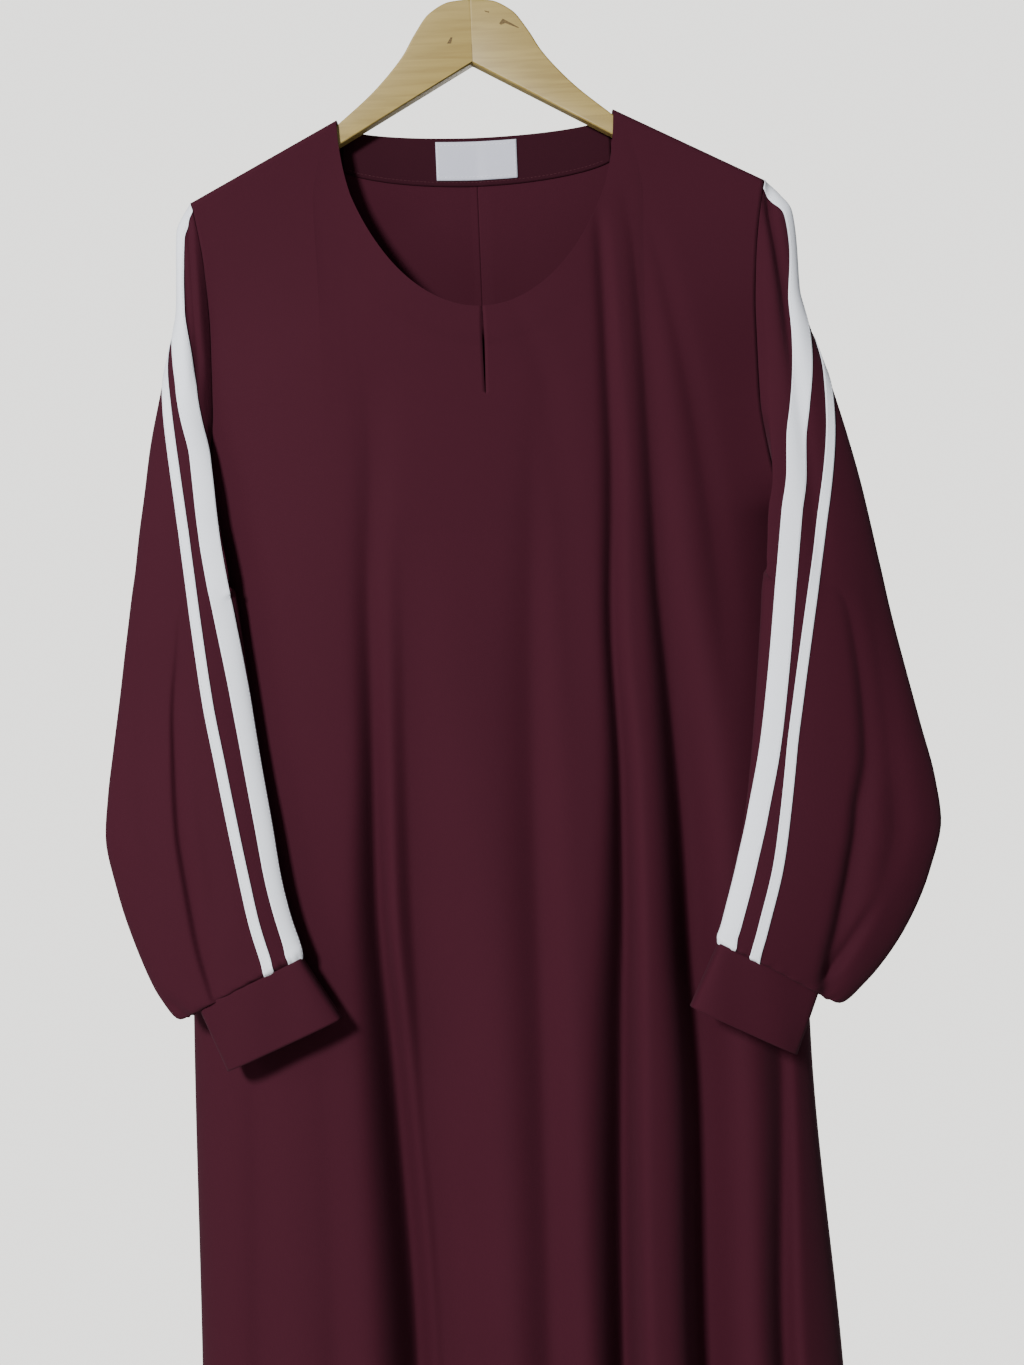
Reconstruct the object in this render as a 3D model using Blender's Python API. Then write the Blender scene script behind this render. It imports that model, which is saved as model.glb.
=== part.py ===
"""A maroon abaya on a flat wooden hanger.

Metres, +Z up. The origin is the point inside the top of the hanger's hook where a rail or nail bears.
The garment faces -Y. Its wearer's left is at +X. Every cloth piece is a sheet of its outer points,
made by a function of a few named sizes. A second sheet a wall's thickness inside it closes the solid.
"""

import math

import bmesh
import bpy
import numpy as np

# Cloth and joins
WALL = 0.0012
TRIM_WALL = 0.0010
SEAM = 0.0003

# Hanger: a head that carries the hook, and two flat arms under the shoulders
HEAD_TOP_Z = -0.0600
WOOD_THICK = 0.0110
WOOD_EDGE = 0.0012
WOOD_PLAY = 0.0024
CROTCH_Z = -0.1050
ARM_UNDER_SLOPE = 0.561
ARM_END_X = 0.1900
ARM_END_HEIGHT = 0.0160
WIRE_RADIUS = 0.0017
WIRE_SIDES = 8
HOOK_RADIUS = 0.0170
STEM_TOP_Z = -0.0490

# Cut of the body
SHOULDER_X = 0.1996
SHOULDER_Z = -0.1939
NECK_X = 0.0964
SHOULDER_SLOPE = 0.517
NECK_Z = SHOULDER_Z + (SHOULDER_X - NECK_X) * SHOULDER_SLOPE
FRONT_NECK_DROP = 0.1375
BACK_NECK_DROP = 0.0125
UNDERARM_Z = -0.4340
LENGTH = 1.3720
HEM_Z = NECK_Z - LENGTH
SLIT_LENGTH = 0.0615
SLIT_OPEN = 0.0028
NECK_FAN = 0.0220
FRONT_PLAY = 0.0085
BACK_PLAY = 0.0105
CAP_HEIGHT = 0.0060
SQUARE_SIDE_Z = (-0.6200, -0.3600)
FOLD_START = (0.0040, 0.0400)
SEAM_BLEND = 0.0200
FAN_DROP = 0.0300
FACING_DEPTH = 0.0330
FACING_X = 0.0880
LABEL_WIDTH = 0.0570
LABEL_HEIGHT = 0.0265

# Tapes on the sleeves
WIDE_TAPE = 0.0140
NARROW_TAPE = 0.0070

# Half width of the body, down the armhole and then the side seam, at the wearer's left and right
SIDE = {
    "z": (HEM_Z, -1.0150, -0.8000, -0.6500, -0.5200, UNDERARM_Z,
          -0.3900, -0.3400, -0.2900, -0.2400, SHOULDER_Z),
    "left": (0.2440, 0.2225, 0.2095, 0.2080, 0.2070, 0.2060,
             0.1950, 0.1895, 0.1895, 0.1925, SHOULDER_X),
    "right": (0.2440, 0.2256, 0.2225, 0.2180, 0.2110, 0.2060,
              0.1950, 0.1895, 0.1895, 0.1925, SHOULDER_X),
}
# Depth of the edge of each panel from the shoulder seam's plane: at the armhole, then at the side seam
FRONT_EDGE = {
    "z": (HEM_Z, UNDERARM_Z, -0.4200, -0.4000, -0.3600, -0.3000, -0.2400, SHOULDER_Z),
    "y": (0.0, 0.0, 0.0125, 0.0175, 0.0155, 0.0115, 0.0095, FRONT_PLAY),
}
BACK_EDGE = {
    "z": (HEM_Z, UNDERARM_Z, -0.4200, -0.3900, -0.3400, -0.2800, SHOULDER_Z),
    "y": (0.0, 0.0, 0.0105, 0.0145, 0.0140, 0.0120, BACK_PLAY),
}
# Depth that each panel has a little way in from its edge, whatever the edge itself does
FRONT_BASE = {
    "z": (HEM_Z, -0.6200, -0.5000, -0.4200, -0.3600, -0.3000, -0.2400, SHOULDER_Z),
    "y": (0.0, 0.0, 0.0035, 0.0085, 0.0110, 0.0110, 0.0095, FRONT_PLAY),
}
BACK_BASE = {
    "z": (HEM_Z, -0.6200, -0.5000, -0.4200, -0.3400, -0.2800, SHOULDER_Z),
    "y": (0.0, 0.0, 0.0035, 0.0085, 0.0120, 0.0120, BACK_PLAY),
}
# How far the middle of each panel stands out beyond the hanger
FRONT_DRAPE = {
    "z": (HEM_Z, -1.0000, -0.8000, -0.6000, -0.4500, -0.3400, -0.2750, -0.2000, -0.1300),
    "y": (0.0560, 0.0500, 0.0460, 0.0410, 0.0340, 0.0240, 0.0170, 0.0060, 0.0),
}
BACK_DRAPE = {
    "z": (HEM_Z, -1.0000, -0.7000, -0.4500, -0.3000, -0.2000, -0.1300),
    "y": (0.0470, 0.0390, 0.0320, 0.0240, 0.0150, 0.0060, 0.0),
}

# Hanging folds: top and foot of each trough, its width there, and its depth halfway and at the foot
FOLD_COLUMNS = ("top_x", "top_z", "foot_x", "foot_z", "top_width", "foot_width", "mid_depth", "foot_depth")
FRONT_FOLDS = (
    (-0.0880, -0.310, -0.0960, HEM_Z, 0.010, 0.026, 0.0120, 0.0260),
    (-0.0570, -0.400, -0.0800, -0.720, 0.009, 0.014, 0.0035, 0.0),
    (0.0240, -0.320, 0.0020, HEM_Z, 0.016, 0.034, 0.0060, 0.0200),
    (0.0890, -0.165, 0.0450, HEM_Z, 0.0065, 0.015, 0.0130, 0.0240),
    (0.1020, -0.175, 0.1300, HEM_Z, 0.0085, 0.019, 0.0145, 0.0280),
    (0.1180, -0.190, 0.1560, -0.560, 0.009, 0.016, 0.0030, 0.0),
    (0.1860, -0.540, 0.1880, HEM_Z, 0.008, 0.013, 0.0100, 0.0160),
    (-0.1760, -0.600, -0.1850, HEM_Z, 0.014, 0.022, 0.0050, 0.0160),
)
BACK_FOLDS = (
    (0.0, -0.150, 0.0, -0.620, 0.011, 0.015, 0.0035, 0.0),
    (-0.0700, -0.200, -0.1450, HEM_Z, 0.011, 0.024, 0.0100, 0.0220),
    (-0.0300, -0.330, -0.0500, HEM_Z, 0.013, 0.025, 0.0080, 0.0200),
    (0.0500, -0.260, 0.0520, HEM_Z, 0.011, 0.026, 0.0095, 0.0220),
    (0.1050, -0.190, 0.1500, HEM_Z, 0.010, 0.023, 0.0110, 0.0210),
)

# Sleeves: a row for each ring below the shoulder tip. It gives the outer edge of the flattened tube, then
# how far its fold hangs inwards and forwards of the armhole's edge, or the place of its inner edge, and
# last how far its front and back stand out between those edges
HEAD_COLUMNS = ("outer_x", "outer_z", "outer_y", "overhang", "forward", "front", "back")
RING_COLUMNS = (
    "outer_x", "outer_z", "outer_y", "inner_x", "inner_z", "inner_y",
    "seam_out", "seam_back", "front", "back", "square",
)
LEFT_HEAD = (
    (0.2105, -0.2050, -0.0010, 0.0, 0.0, 0.0040, 0.0045),
    (0.2182, -0.2165, -0.0020, 0.0, 0.0, 0.0060, 0.0055),
    (0.2205, -0.2400, -0.0030, 0.0, 0.0, 0.0080, 0.0065),
    (0.2210, -0.2700, -0.0050, 0.0, 0.0, 0.0095, 0.0080),
    (0.2300, -0.3060, -0.0070, 0.0, 0.0, 0.0105, 0.0090),
    (0.2406, -0.3400, -0.0090, 0.0, 0.0, 0.0115, 0.0100),
    (0.2500, -0.3750, -0.0110, 0.0035, 0.0050, 0.0120, 0.0110),
    (0.2575, -0.4080, -0.0135, 0.0105, 0.0095, 0.0130, 0.0120),
    (0.2625, -0.4350, -0.0155, 0.0212, 0.0165, 0.0145, 0.0130),
    (0.2665, -0.4580, -0.0170, 0.0250, 0.0290, 0.0155, 0.0140),
)
LEFT_TUBE = (
    (0.2690, -0.4720, -0.0180, 0.1800, -0.4450, -0.0310, 0.0270, 0.0190, 0.0158, 0.0145, 1.00),
    (0.2725, -0.4930, -0.0197, 0.1786, -0.4600, -0.0328, 0.0194, 0.0090, 0.0160, 0.0150, 1.00),
    (0.2757, -0.5100, -0.0210, 0.1842, -0.4761, -0.0345, 0.0, 0.0, 0.0160, 0.0150, 1.00),
    (0.2815, -0.5380, -0.0235, 0.1815, -0.5008, -0.0370, 0.0, 0.0, 0.0160, 0.0150, 1.00),
    (0.2900, -0.5780, -0.0270, 0.1768, -0.5420, -0.0410, 0.0, 0.0, 0.0160, 0.0150, 1.00),
    (0.2975, -0.6130, -0.0300, 0.1710, -0.5890, -0.0460, 0.0, 0.0, 0.0160, 0.0150, 1.00),
    (0.3003, -0.6420, -0.0325, 0.1640, -0.6330, -0.0510, 0.0, 0.0, 0.0160, 0.0150, 1.00),
    (0.2900, -0.6790, -0.0355, 0.1562, -0.6650, -0.0548, 0.0, 0.0, 0.0160, 0.0145, 0.95),
    (0.2700, -0.7180, -0.0395, 0.1480, -0.6920, -0.0575, 0.0, 0.0, 0.0165, 0.0145, 0.90),
    (0.2430, -0.7500, -0.0440, 0.1430, -0.7080, -0.0598, 0.0, 0.0, 0.0165, 0.0150, 0.85),
    (0.2235, -0.7640, -0.0480, 0.1405, -0.7135, -0.0610, 0.0, 0.0, 0.0155, 0.0145, 0.80),
    (0.2093, -0.7540, -0.0520, 0.1412, -0.7185, -0.0610, 0.0, 0.0, 0.0100, 0.0090, 0.60),
)
RIGHT_HEAD = (
    (0.2060, -0.2032, -0.0010, 0.0, 0.0, 0.0040, 0.0040),
    (0.2108, -0.2150, -0.0020, 0.0, 0.0, 0.0060, 0.0055),
    (0.2118, -0.2400, -0.0030, 0.0, 0.0, 0.0090, 0.0065),
    (0.2127, -0.2680, -0.0050, 0.0, 0.0, 0.0110, 0.0080),
    (0.2190, -0.2980, -0.0070, 0.0, 0.0, 0.0120, 0.0090),
    (0.2275, -0.3330, -0.0090, 0.0, 0.0, 0.0125, 0.0100),
    (0.2345, -0.3650, -0.0110, 0.0070, 0.0050, 0.0130, 0.0110),
    (0.2395, -0.3980, -0.0135, 0.0165, 0.0090, 0.0140, 0.0120),
    (0.2440, -0.4260, -0.0155, 0.0250, 0.0170, 0.0150, 0.0130),
    (0.2475, -0.4520, -0.0170, 0.0295, 0.0300, 0.0160, 0.0140),
)
RIGHT_TUBE = (
    (0.2500, -0.4665, -0.0180, 0.1742, -0.4450, -0.0315, 0.0328, 0.0195, 0.0162, 0.0145, 1.00),
    (0.2535, -0.4900, -0.0197, 0.1722, -0.4580, -0.0335, 0.0243, 0.0090, 0.0165, 0.0150, 1.00),
    (0.2560, -0.5070, -0.0210, 0.1762, -0.4714, -0.0355, 0.0, 0.0, 0.0165, 0.0150, 1.00),
    (0.2600, -0.5360, -0.0235, 0.1730, -0.4931, -0.0385, 0.0, 0.0, 0.0160, 0.0150, 1.00),
    (0.2655, -0.5730, -0.0270, 0.1685, -0.5320, -0.0435, 0.0, 0.0, 0.0160, 0.0150, 1.00),
    (0.2700, -0.6050, -0.0300, 0.1618, -0.5820, -0.0490, 0.0, 0.0, 0.0160, 0.0150, 1.00),
    (0.2722, -0.6330, -0.0325, 0.1550, -0.6270, -0.0537, 0.0, 0.0, 0.0160, 0.0150, 1.00),
    (0.2650, -0.6700, -0.0355, 0.1500, -0.6630, -0.0568, 0.0, 0.0, 0.0160, 0.0145, 0.95),
    (0.2540, -0.7050, -0.0395, 0.1440, -0.6900, -0.0588, 0.0, 0.0, 0.0165, 0.0145, 0.90),
    (0.2375, -0.7420, -0.0440, 0.1392, -0.7050, -0.0605, 0.0, 0.0, 0.0165, 0.0150, 0.85),
    (0.2235, -0.7570, -0.0480, 0.1376, -0.7110, -0.0620, 0.0, 0.0, 0.0155, 0.0145, 0.80),
    (0.2096, -0.7495, -0.0520, 0.1372, -0.7172, -0.0620, 0.0, 0.0, 0.0100, 0.0090, 0.60),
)
# Cuffs: their open end, in the columns of a tube
LEFT_CUFF_END = (0.1922, -0.7959, -0.0540, 0.1208, -0.7591, -0.0640, 0.0, 0.0, 0.0105, 0.0095, 0.55)
RIGHT_CUFF_END = (0.1918, -0.7919, -0.0540, 0.1125, -0.7577, -0.0640, 0.0, 0.0, 0.0105, 0.0095, 0.55)
BODY_CLEARANCE = 0.0035
FOLD_ANGLE = 2.5
FACING_GAP = 0.0009

# Pleat of each sleeve above the cuff: where it lies round the tube at each ring, and how deep it is
LEFT_PLEAT = {
    "ring": (12.0, 14.0, 16.0, 17.0, 18.0, 19.0, 20.0, 21.0, 22.0),
    "angle": (92.0, 88.0, 76.0, 72.0, 72.0, 67.0, 58.0, 40.0, 30.0),
    "depth": (0.0, 0.0040, 0.0070, 0.0080, 0.0085, 0.0085, 0.0060, 0.0025, 0.0),
}
RIGHT_PLEAT = {
    "ring": (12.0, 14.0, 16.0, 17.0, 18.0, 19.0, 20.0, 21.0, 22.0),
    "angle": (40.0, 50.0, 66.0, 76.0, 79.0, 75.0, 62.0, 42.0, 30.0),
    "depth": (0.0, 0.0030, 0.0070, 0.0090, 0.0100, 0.0095, 0.0065, 0.0025, 0.0),
}
PLEAT_WIDTH = 0.0100

# Tapes: angle of the middle of each round the sleeve, ring by ring
LEFT_TAPES = {
    "wide": (60, 30, 22, 20, 30, 58, 85, 105, 111.5, 115, 118.5, 120,
             122.5, 133.5, 136.5, 140.5, 145.5, 152, 154, 153.5, 153, 149, 149),
    "narrow": (-62, -78, -70, -68, -57, -22, 30, 57, 75, 83.5, 90, 93.5,
               98, 108, 114, 121, 126.5, 128, 126, 124, 120, 114.5, 107),
}
RIGHT_TAPES = {
    "wide": (60, 30, 26, 22, 30, 72, 106, 123, 123.5, 125, 126.5, 127,
             130, 143, 145.5, 151, 155, 156.5, 158, 158.5, 157, 155, 154),
    "narrow": (-62, -80, -72, -70, -60, -2, 52, 75, 86, 93, 98, 99.5,
               102.5, 110, 112, 116, 121, 124, 125.5, 124, 122, 118.5, 112),
}

# Steps across and down each sheet. The first drops reach down the armhole, and the sleeve shares them
FRONT_NECK_TURNS = (0.0, 13.0, 26.0, 38.0, 50.0, 62.0, 73.0, 81.0, 85.8, 88.4, 90.0)
BACK_NECK_TURNS = (0.0, 30.0, 50.0, 66.0, 79.0, 90.0)
FRONT_SHOULDER_COLUMNS = 11
BACK_SHOULDER_COLUMNS = 9
ARMHOLE_DROPS = (
    0.0, 0.0012, 0.0032, 0.0060, 0.0140, 0.0280, 0.0460, 0.0680,
    0.0950, 0.1240, 0.1540, 0.1840, 0.2100, 0.2290, SHOULDER_Z - UNDERARM_Z,
)
CAP_DROPS = 4
LOWER_ROWS = (0.065, 0.135, 0.215, 0.305, 0.405, 0.515, 0.635, 0.765, 0.880, 1.0)
SLEEVE_STEPS = {"inner": 5, "wide": 4, "between": 2, "narrow": 2, "outer": 5, "behind": 8}

CLOTH = (0.105, 0.022, 0.036)
WHITE = (0.83, 0.87, 0.93)
WOOD = (0.62, 0.47, 0.22)
STEEL = (0.62, 0.62, 0.63)


def clear_scene():
    for old in list(bpy.data.objects):
        bpy.data.objects.remove(old)


def material(name, colour, roughness, metallic=0.0):
    """A Principled BSDF of one colour, made once."""
    made = bpy.data.materials.get(name)
    if made:
        return made
    made = bpy.data.materials.new(name)
    made.use_nodes = True
    shader = made.node_tree.nodes["Principled BSDF"]
    shader.inputs["Base Color"].default_value = (*colour, 1.0)
    shader.inputs["Roughness"].default_value = roughness
    shader.inputs["Metallic"].default_value = metallic
    return made


def eased(low, high, value):
    """0 below low, 1 above high, and a smooth step between them."""
    t = np.clip((value - low) / (high - low), 0.0, 1.0)
    return t * t * (3 - 2 * t)


def smooth_through(places, values, at):
    """A smooth curve through values at rising places, which stays within each pair of neighbours."""
    places = np.asarray(places, float)
    values = np.asarray(values, float)
    at = np.clip(at, places[0], places[-1])
    steps = np.diff(places)
    slopes = np.diff(values, axis=0) / steps.reshape((-1,) + (1,) * (values.ndim - 1))
    tangents = np.zeros_like(values)
    before, after = slopes[:-1], slopes[1:]
    level = before * after <= 0
    tangents[1:-1] = np.where(level, 0.0, 2 * before * after / np.where(level, 1.0, before + after))
    tangents[0], tangents[-1] = slopes[0], slopes[-1]
    k = np.clip(np.searchsorted(places, at, side="right") - 1, 0, len(steps) - 1)
    t = (at - places[k]) / steps[k]
    h = steps[k]
    if values.ndim > 1:
        t = np.expand_dims(t, -1)
        h = np.expand_dims(h, -1)
    a = (1 + 2 * t) * (1 - t) ** 2
    b = t * (1 - t) ** 2 * h
    c = t * t * (3 - 2 * t)
    d = t * t * (t - 1) * h
    return a * values[k] + b * tangents[k] + c * values[k + 1] + d * tangents[k + 1]


def side_x(x, z):
    """Half width of the body at height z, on the side that x is on."""
    left = smooth_through(SIDE["z"], SIDE["left"], z)
    right = smooth_through(SIDE["z"], SIDE["right"], z)
    return np.where(np.asarray(x) >= 0, left, right)


def shoulder_z(x):
    """Height of the shoulder seam's line, which runs on across the neck."""
    return SHOULDER_Z + (SHOULDER_X - np.abs(x)) * SHOULDER_SLOPE


def over_arm(below_seam):
    """0 on top of the hanger's arm and 1 past its rounded edge: a squarish quarter turn."""
    t = np.clip(below_seam / CAP_HEIGHT, 0.0, 1.0)
    return (1 - (1 - t) ** 3) ** (1 / 3)


def trough(x, z, fold):
    """Depth of one hanging fold at x, z: a rounded groove that runs from its top to its foot."""
    f = dict(zip(FOLD_COLUMNS, fold))
    t = (f["top_z"] - z) / (f["top_z"] - f["foot_z"])
    inside = np.clip(t, 0.0, 1.0)
    middle = f["top_x"] + (f["foot_x"] - f["top_x"]) * inside
    width = f["top_width"] + (f["foot_width"] - f["top_width"]) * inside
    depth = smooth_through((0.0, 0.5, 1.0), (0.0, f["mid_depth"], f["foot_depth"]), inside)
    depth = depth * eased(0.0, 0.12, t)
    return depth * np.exp(-(((x - middle) / width) ** 2))


def panel_depth(x, z, edge, base, play, drape, folds, ramp):
    """How far a panel's outer face stands from the plane of the seams at x, z."""
    below = shoulder_z(x) - z
    across = np.clip(np.abs(x) / side_x(x, z), 0.0, 1.0)
    at_edge = smooth_through(edge["z"], edge["y"], z)
    near_edge = smooth_through(base["z"], base["y"], z)
    at_middle = play + smooth_through(drape["z"], drape["y"], z) * eased(0.0, ramp, below)
    turn_in = 0.5 + 0.5 * eased(*SQUARE_SIDE_Z, z)
    round_side = (1 - across**3) ** turn_in
    depth = near_edge + (at_middle - near_edge) * round_side + (at_edge - near_edge) * across**12
    inward = sum(trough(x, z, fold) for fold in folds)
    return depth * over_arm(below) - inward * (1 - across**8) * eased(*FOLD_START, below)


def front_y(x, z):
    return -SEAM / 2 - panel_depth(x, z, FRONT_EDGE, FRONT_BASE, FRONT_PLAY, FRONT_DRAPE, FRONT_FOLDS, 0.16)


def back_y(x, z):
    return SEAM / 2 + panel_depth(x, z, BACK_EDGE, BACK_BASE, BACK_PLAY, BACK_DRAPE, BACK_FOLDS, 0.10)


def half_panel_plan(neck_drop, neck_turns, shoulder_columns, side):
    """x and z of half a panel, middle to side: its columns start along the neck, then the shoulder."""
    turn = np.radians(neck_turns)
    along = np.arange(1, shoulder_columns + 1) / shoulder_columns
    top_x = np.concatenate([NECK_X * np.sin(turn), NECK_X + (SHOULDER_X - NECK_X) * along])
    neck_z = NECK_Z - neck_drop * np.cos(turn)
    top_z = np.concatenate([neck_z, shoulder_z(top_x[len(turn):])])
    share = np.arange(len(top_x)) / (len(top_x) - 1)
    low_share = 0.30 * top_x / SHOULDER_X + 0.35 * share + 0.35 * np.sin(share * math.pi / 2)
    drops = np.array(ARMHOLE_DROPS)[:, None]
    upper = top_z - drops * (top_z - UNDERARM_Z) / (SHOULDER_Z - UNDERARM_Z)
    lower = UNDERARM_Z + (HEM_Z - UNDERARM_Z) * np.array(LOWER_ROWS)[:, None]
    near_top = top_z - drops
    upper = near_top + (upper - near_top) * eased(0.0060, 0.0460, drops)
    z = np.concatenate([upper, np.broadcast_to(lower, (len(LOWER_ROWS), len(top_x)))])
    fan = np.concatenate([np.sin(turn) ** 2, (1 - along) ** 2])
    spread = top_x + NECK_FAN * fan * (1 - np.exp(-(top_z - z) / FAN_DROP))
    share = spread / SHOULDER_X
    share = share + (low_share - share) * eased(0.02, 0.32, top_z - z)
    return side * share * side_x(side, z), z


def link(obj, colour_name, colour, roughness, metallic=0.0):
    bpy.context.scene.collection.objects.link(obj)
    obj.data.materials.append(material(colour_name, colour, roughness, metallic))
    return obj


def inner_points(outer, wall, way, level, joined):
    """Points a wall's thickness inside a grid, against its mean normals. Each rim in level may not lean
    back past the direction given with it. From the row joined on, the last column meets the first."""
    down = outer[1:, 1:] - outer[:-1, :-1]
    across = outer[:-1, 1:] - outer[1:, :-1]
    face = np.cross(down, across) * way
    face /= np.maximum(np.linalg.norm(face, axis=-1, keepdims=True), 1e-12)
    meets = (np.arange(len(face)) >= joined)[:, None, None]
    before = np.where(meets, face[:, -1:], face[:, :1])
    after = np.where(meets, face[:, :1], face[:, -1:])
    around = np.concatenate([before, face, after], axis=1)
    around = np.concatenate([around[:1], around, around[-1:]], axis=0)
    normal = around[:-1, :-1] + around[1:, :-1] + around[:-1, 1:] + around[1:, 1:]
    normal[joined:, 0] = normal[joined:, -1] = (normal[joined:, 0] + normal[joined:, -1]) / 2
    normal /= np.linalg.norm(normal, axis=-1, keepdims=True)
    for part, direction in level:
        edge = normal[part]
        direction = np.broadcast_to(direction, edge.shape)
        direction = direction / np.linalg.norm(direction, axis=-1, keepdims=True)
        edge = edge - direction * np.maximum(np.sum(edge * direction, axis=-1, keepdims=True), 0.0)
        normal[part] = edge / np.linalg.norm(edge, axis=-1, keepdims=True)
    return outer - normal * wall


def cloth_object(name, grids, wall, colour_name, colour, roughness, ways=(1,), level=((), ()), joined=9999):
    """One piece of cloth: its grids of outer points, joined where they meet, with a wall inwards.
    The wall is made of a second grid and of strips round the open rims."""
    inners = [inner_points(outer, wall, way, rims, joined) for outer, way, rims in zip(grids, ways, level)]
    if len(grids) == 2:
        together = np.abs(grids[0][:, 0, 0]) < 1e-7
        middle = (inners[0][:, 0] + inners[1][:, 0]) / 2
        for inner in inners:
            inner[together, 0] = middle[together]
    bm = bmesh.new()
    for outer, inner, way in zip(grids, inners, ways):
        rows, columns = outer.shape[:2]
        sheets = [[[bm.verts.new(p) for p in row] for row in points] for points in (outer, inner)]
        for sheet in sheets:
            for r in range(rows - 1):
                for c in range(columns - 1):
                    bm.faces.new([sheet[r][c], sheet[r + 1][c], sheet[r + 1][c + 1], sheet[r][c + 1]])
        rims = [[(0, c) for c in range(columns)], [(rows - 1, c) for c in range(columns)]]
        side_rows = min(rows, joined + 1)
        rims += [[(r, 0) for r in range(side_rows)], [(r, columns - 1) for r in range(side_rows)]]
        for rim in rims:
            for (r, c), (q, d) in zip(rim, rim[1:]):
                if len(grids) == 2 and c == d == 0 and together[r] and together[q]:
                    continue
                bm.faces.new([sheets[0][r][c], sheets[0][q][d], sheets[1][q][d], sheets[1][r][c]])
    bmesh.ops.remove_doubles(bm, verts=bm.verts, dist=0.000002)
    bmesh.ops.recalc_face_normals(bm, faces=bm.faces)
    mesh = bpy.data.meshes.new(name)
    bm.to_mesh(mesh)
    bm.free()
    return link(bpy.data.objects.new(name, mesh), colour_name, colour, roughness)


def slit_half_width(z):
    """Half the gap of the front slit: a slim lens, almost closed at the neckline and shut at its foot."""
    t = (NECK_Z - FRONT_NECK_DROP - z) / SLIT_LENGTH
    gap = 0.0004 + 0.5 * SLIT_OPEN * np.sin(math.pi * np.clip(t, 0.0, 1.0) ** 0.8)
    return np.where(t < 0.999, gap, 0.0)


def panel_edges(columns_on_neck, side, facing):
    """Rims of half a panel that lie against another piece, each with the way it may not lean back."""
    return [
        ((0, slice(columns_on_neck, None)), (0.0, facing, 0.0)),
        ((slice(len(ARMHOLE_DROPS) - 1, None), -1), (0.0, facing, 0.0)),
        ((-1, slice(None)), (0.0, 0.0, 1.0)),
        ((-1, slice(None)), (0.0, 0.0, -1.0)),
        ((slice(None), 0), (side, 0.0, 0.0)),
    ]


def make_front():
    grids = []
    for side in (-1, 1):
        x, z = half_panel_plan(FRONT_NECK_DROP, FRONT_NECK_TURNS, FRONT_SHOULDER_COLUMNS, side)
        beside = x + side * slit_half_width(z) * (1 - eased(0.0, SEAM_BLEND, np.abs(x)))
        grids.append(np.stack([beside, front_y(beside, z), z], axis=-1))
    edges = [panel_edges(len(FRONT_NECK_TURNS) - 1, side, -1.0) for side in (-1.0, 1.0)]
    cloth_object("front", grids, WALL, "cloth", CLOTH, 0.85, ways=(-1, 1), level=edges)


def make_backs():
    for name, side in (("back_right", -1), ("back_left", 1)):
        x, z = half_panel_plan(BACK_NECK_DROP, BACK_NECK_TURNS, BACK_SHOULDER_COLUMNS, side)
        beside = x + side * SEAM / 2 * (1 - eased(0.0, SEAM_BLEND, np.abs(x)))
        points = np.stack([beside, back_y(beside, z), z], axis=-1)
        edges = [panel_edges(len(BACK_NECK_TURNS) - 1, float(side), 1.0)]
        cloth_object(name, [points], WALL, "cloth", CLOTH, 0.85, ways=(-side,), level=edges)


def behind_neck(x, z, inward):
    """Points inside the back panel, moved towards the front by inward."""
    return np.stack([x, back_y(x, z) - inward, z], axis=-1)


def back_neck_z(x):
    return NECK_Z - BACK_NECK_DROP * np.sqrt(np.clip(1 - (x / NECK_X) ** 2, 0.0, 1.0))


def make_facing_and_label():
    """The band inside the back neck, and the plain label sewn on it."""
    across, down = np.meshgrid(np.linspace(-FACING_X, FACING_X, 13), np.linspace(0.0, 1.0, 4))
    z = back_neck_z(across) - 0.0006 - FACING_DEPTH * down
    facing = behind_neck(across, z, WALL + FACING_GAP)
    cloth_object("back_neck_facing", [facing], TRIM_WALL, "cloth", CLOTH, 0.85, ways=(-1,))
    across, down = np.meshgrid(np.linspace(-LABEL_WIDTH / 2, LABEL_WIDTH / 2, 5), np.linspace(0.0, 1.0, 3))
    z = back_neck_z(across) - 0.0030 - LABEL_HEIGHT * down
    label = behind_neck(across, z, WALL + FACING_GAP + SEAM + TRIM_WALL)
    cloth_object("label", [label], TRIM_WALL, "label", WHITE, 0.6, ways=(-1,))


def armhole_point(drop, side, front):
    """A point of the armhole's edge at a drop from the shoulder, a seam's gap outside the panels."""
    z = SHOULDER_Z - drop
    edge = np.where(
        front,
        -smooth_through(FRONT_EDGE["z"], FRONT_EDGE["y"], z),
        smooth_through(BACK_EDGE["z"], BACK_EDGE["y"], z),
    )
    return np.stack([side * (side_x(side, z) + SEAM), edge * over_arm(drop), z], axis=-1)


def cap_ring(angle, side):
    """The sleeve's first ring: along the armhole's edge over the shoulder tip, from front to back."""
    way = np.linspace(-1.0, 1.0, 121)
    path = armhole_point(ARMHOLE_DROPS[CAP_DROPS] * np.abs(way) ** 2.5, side, way < 0)
    reach = np.concatenate([[0.0], np.cumsum(np.linalg.norm(np.diff(path, axis=0), axis=1))])
    at = (1 - angle / math.pi) / 2 * reach[-1]
    return np.stack([np.interp(at, reach, path[:, axis]) for axis in range(3)], axis=-1)


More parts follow.
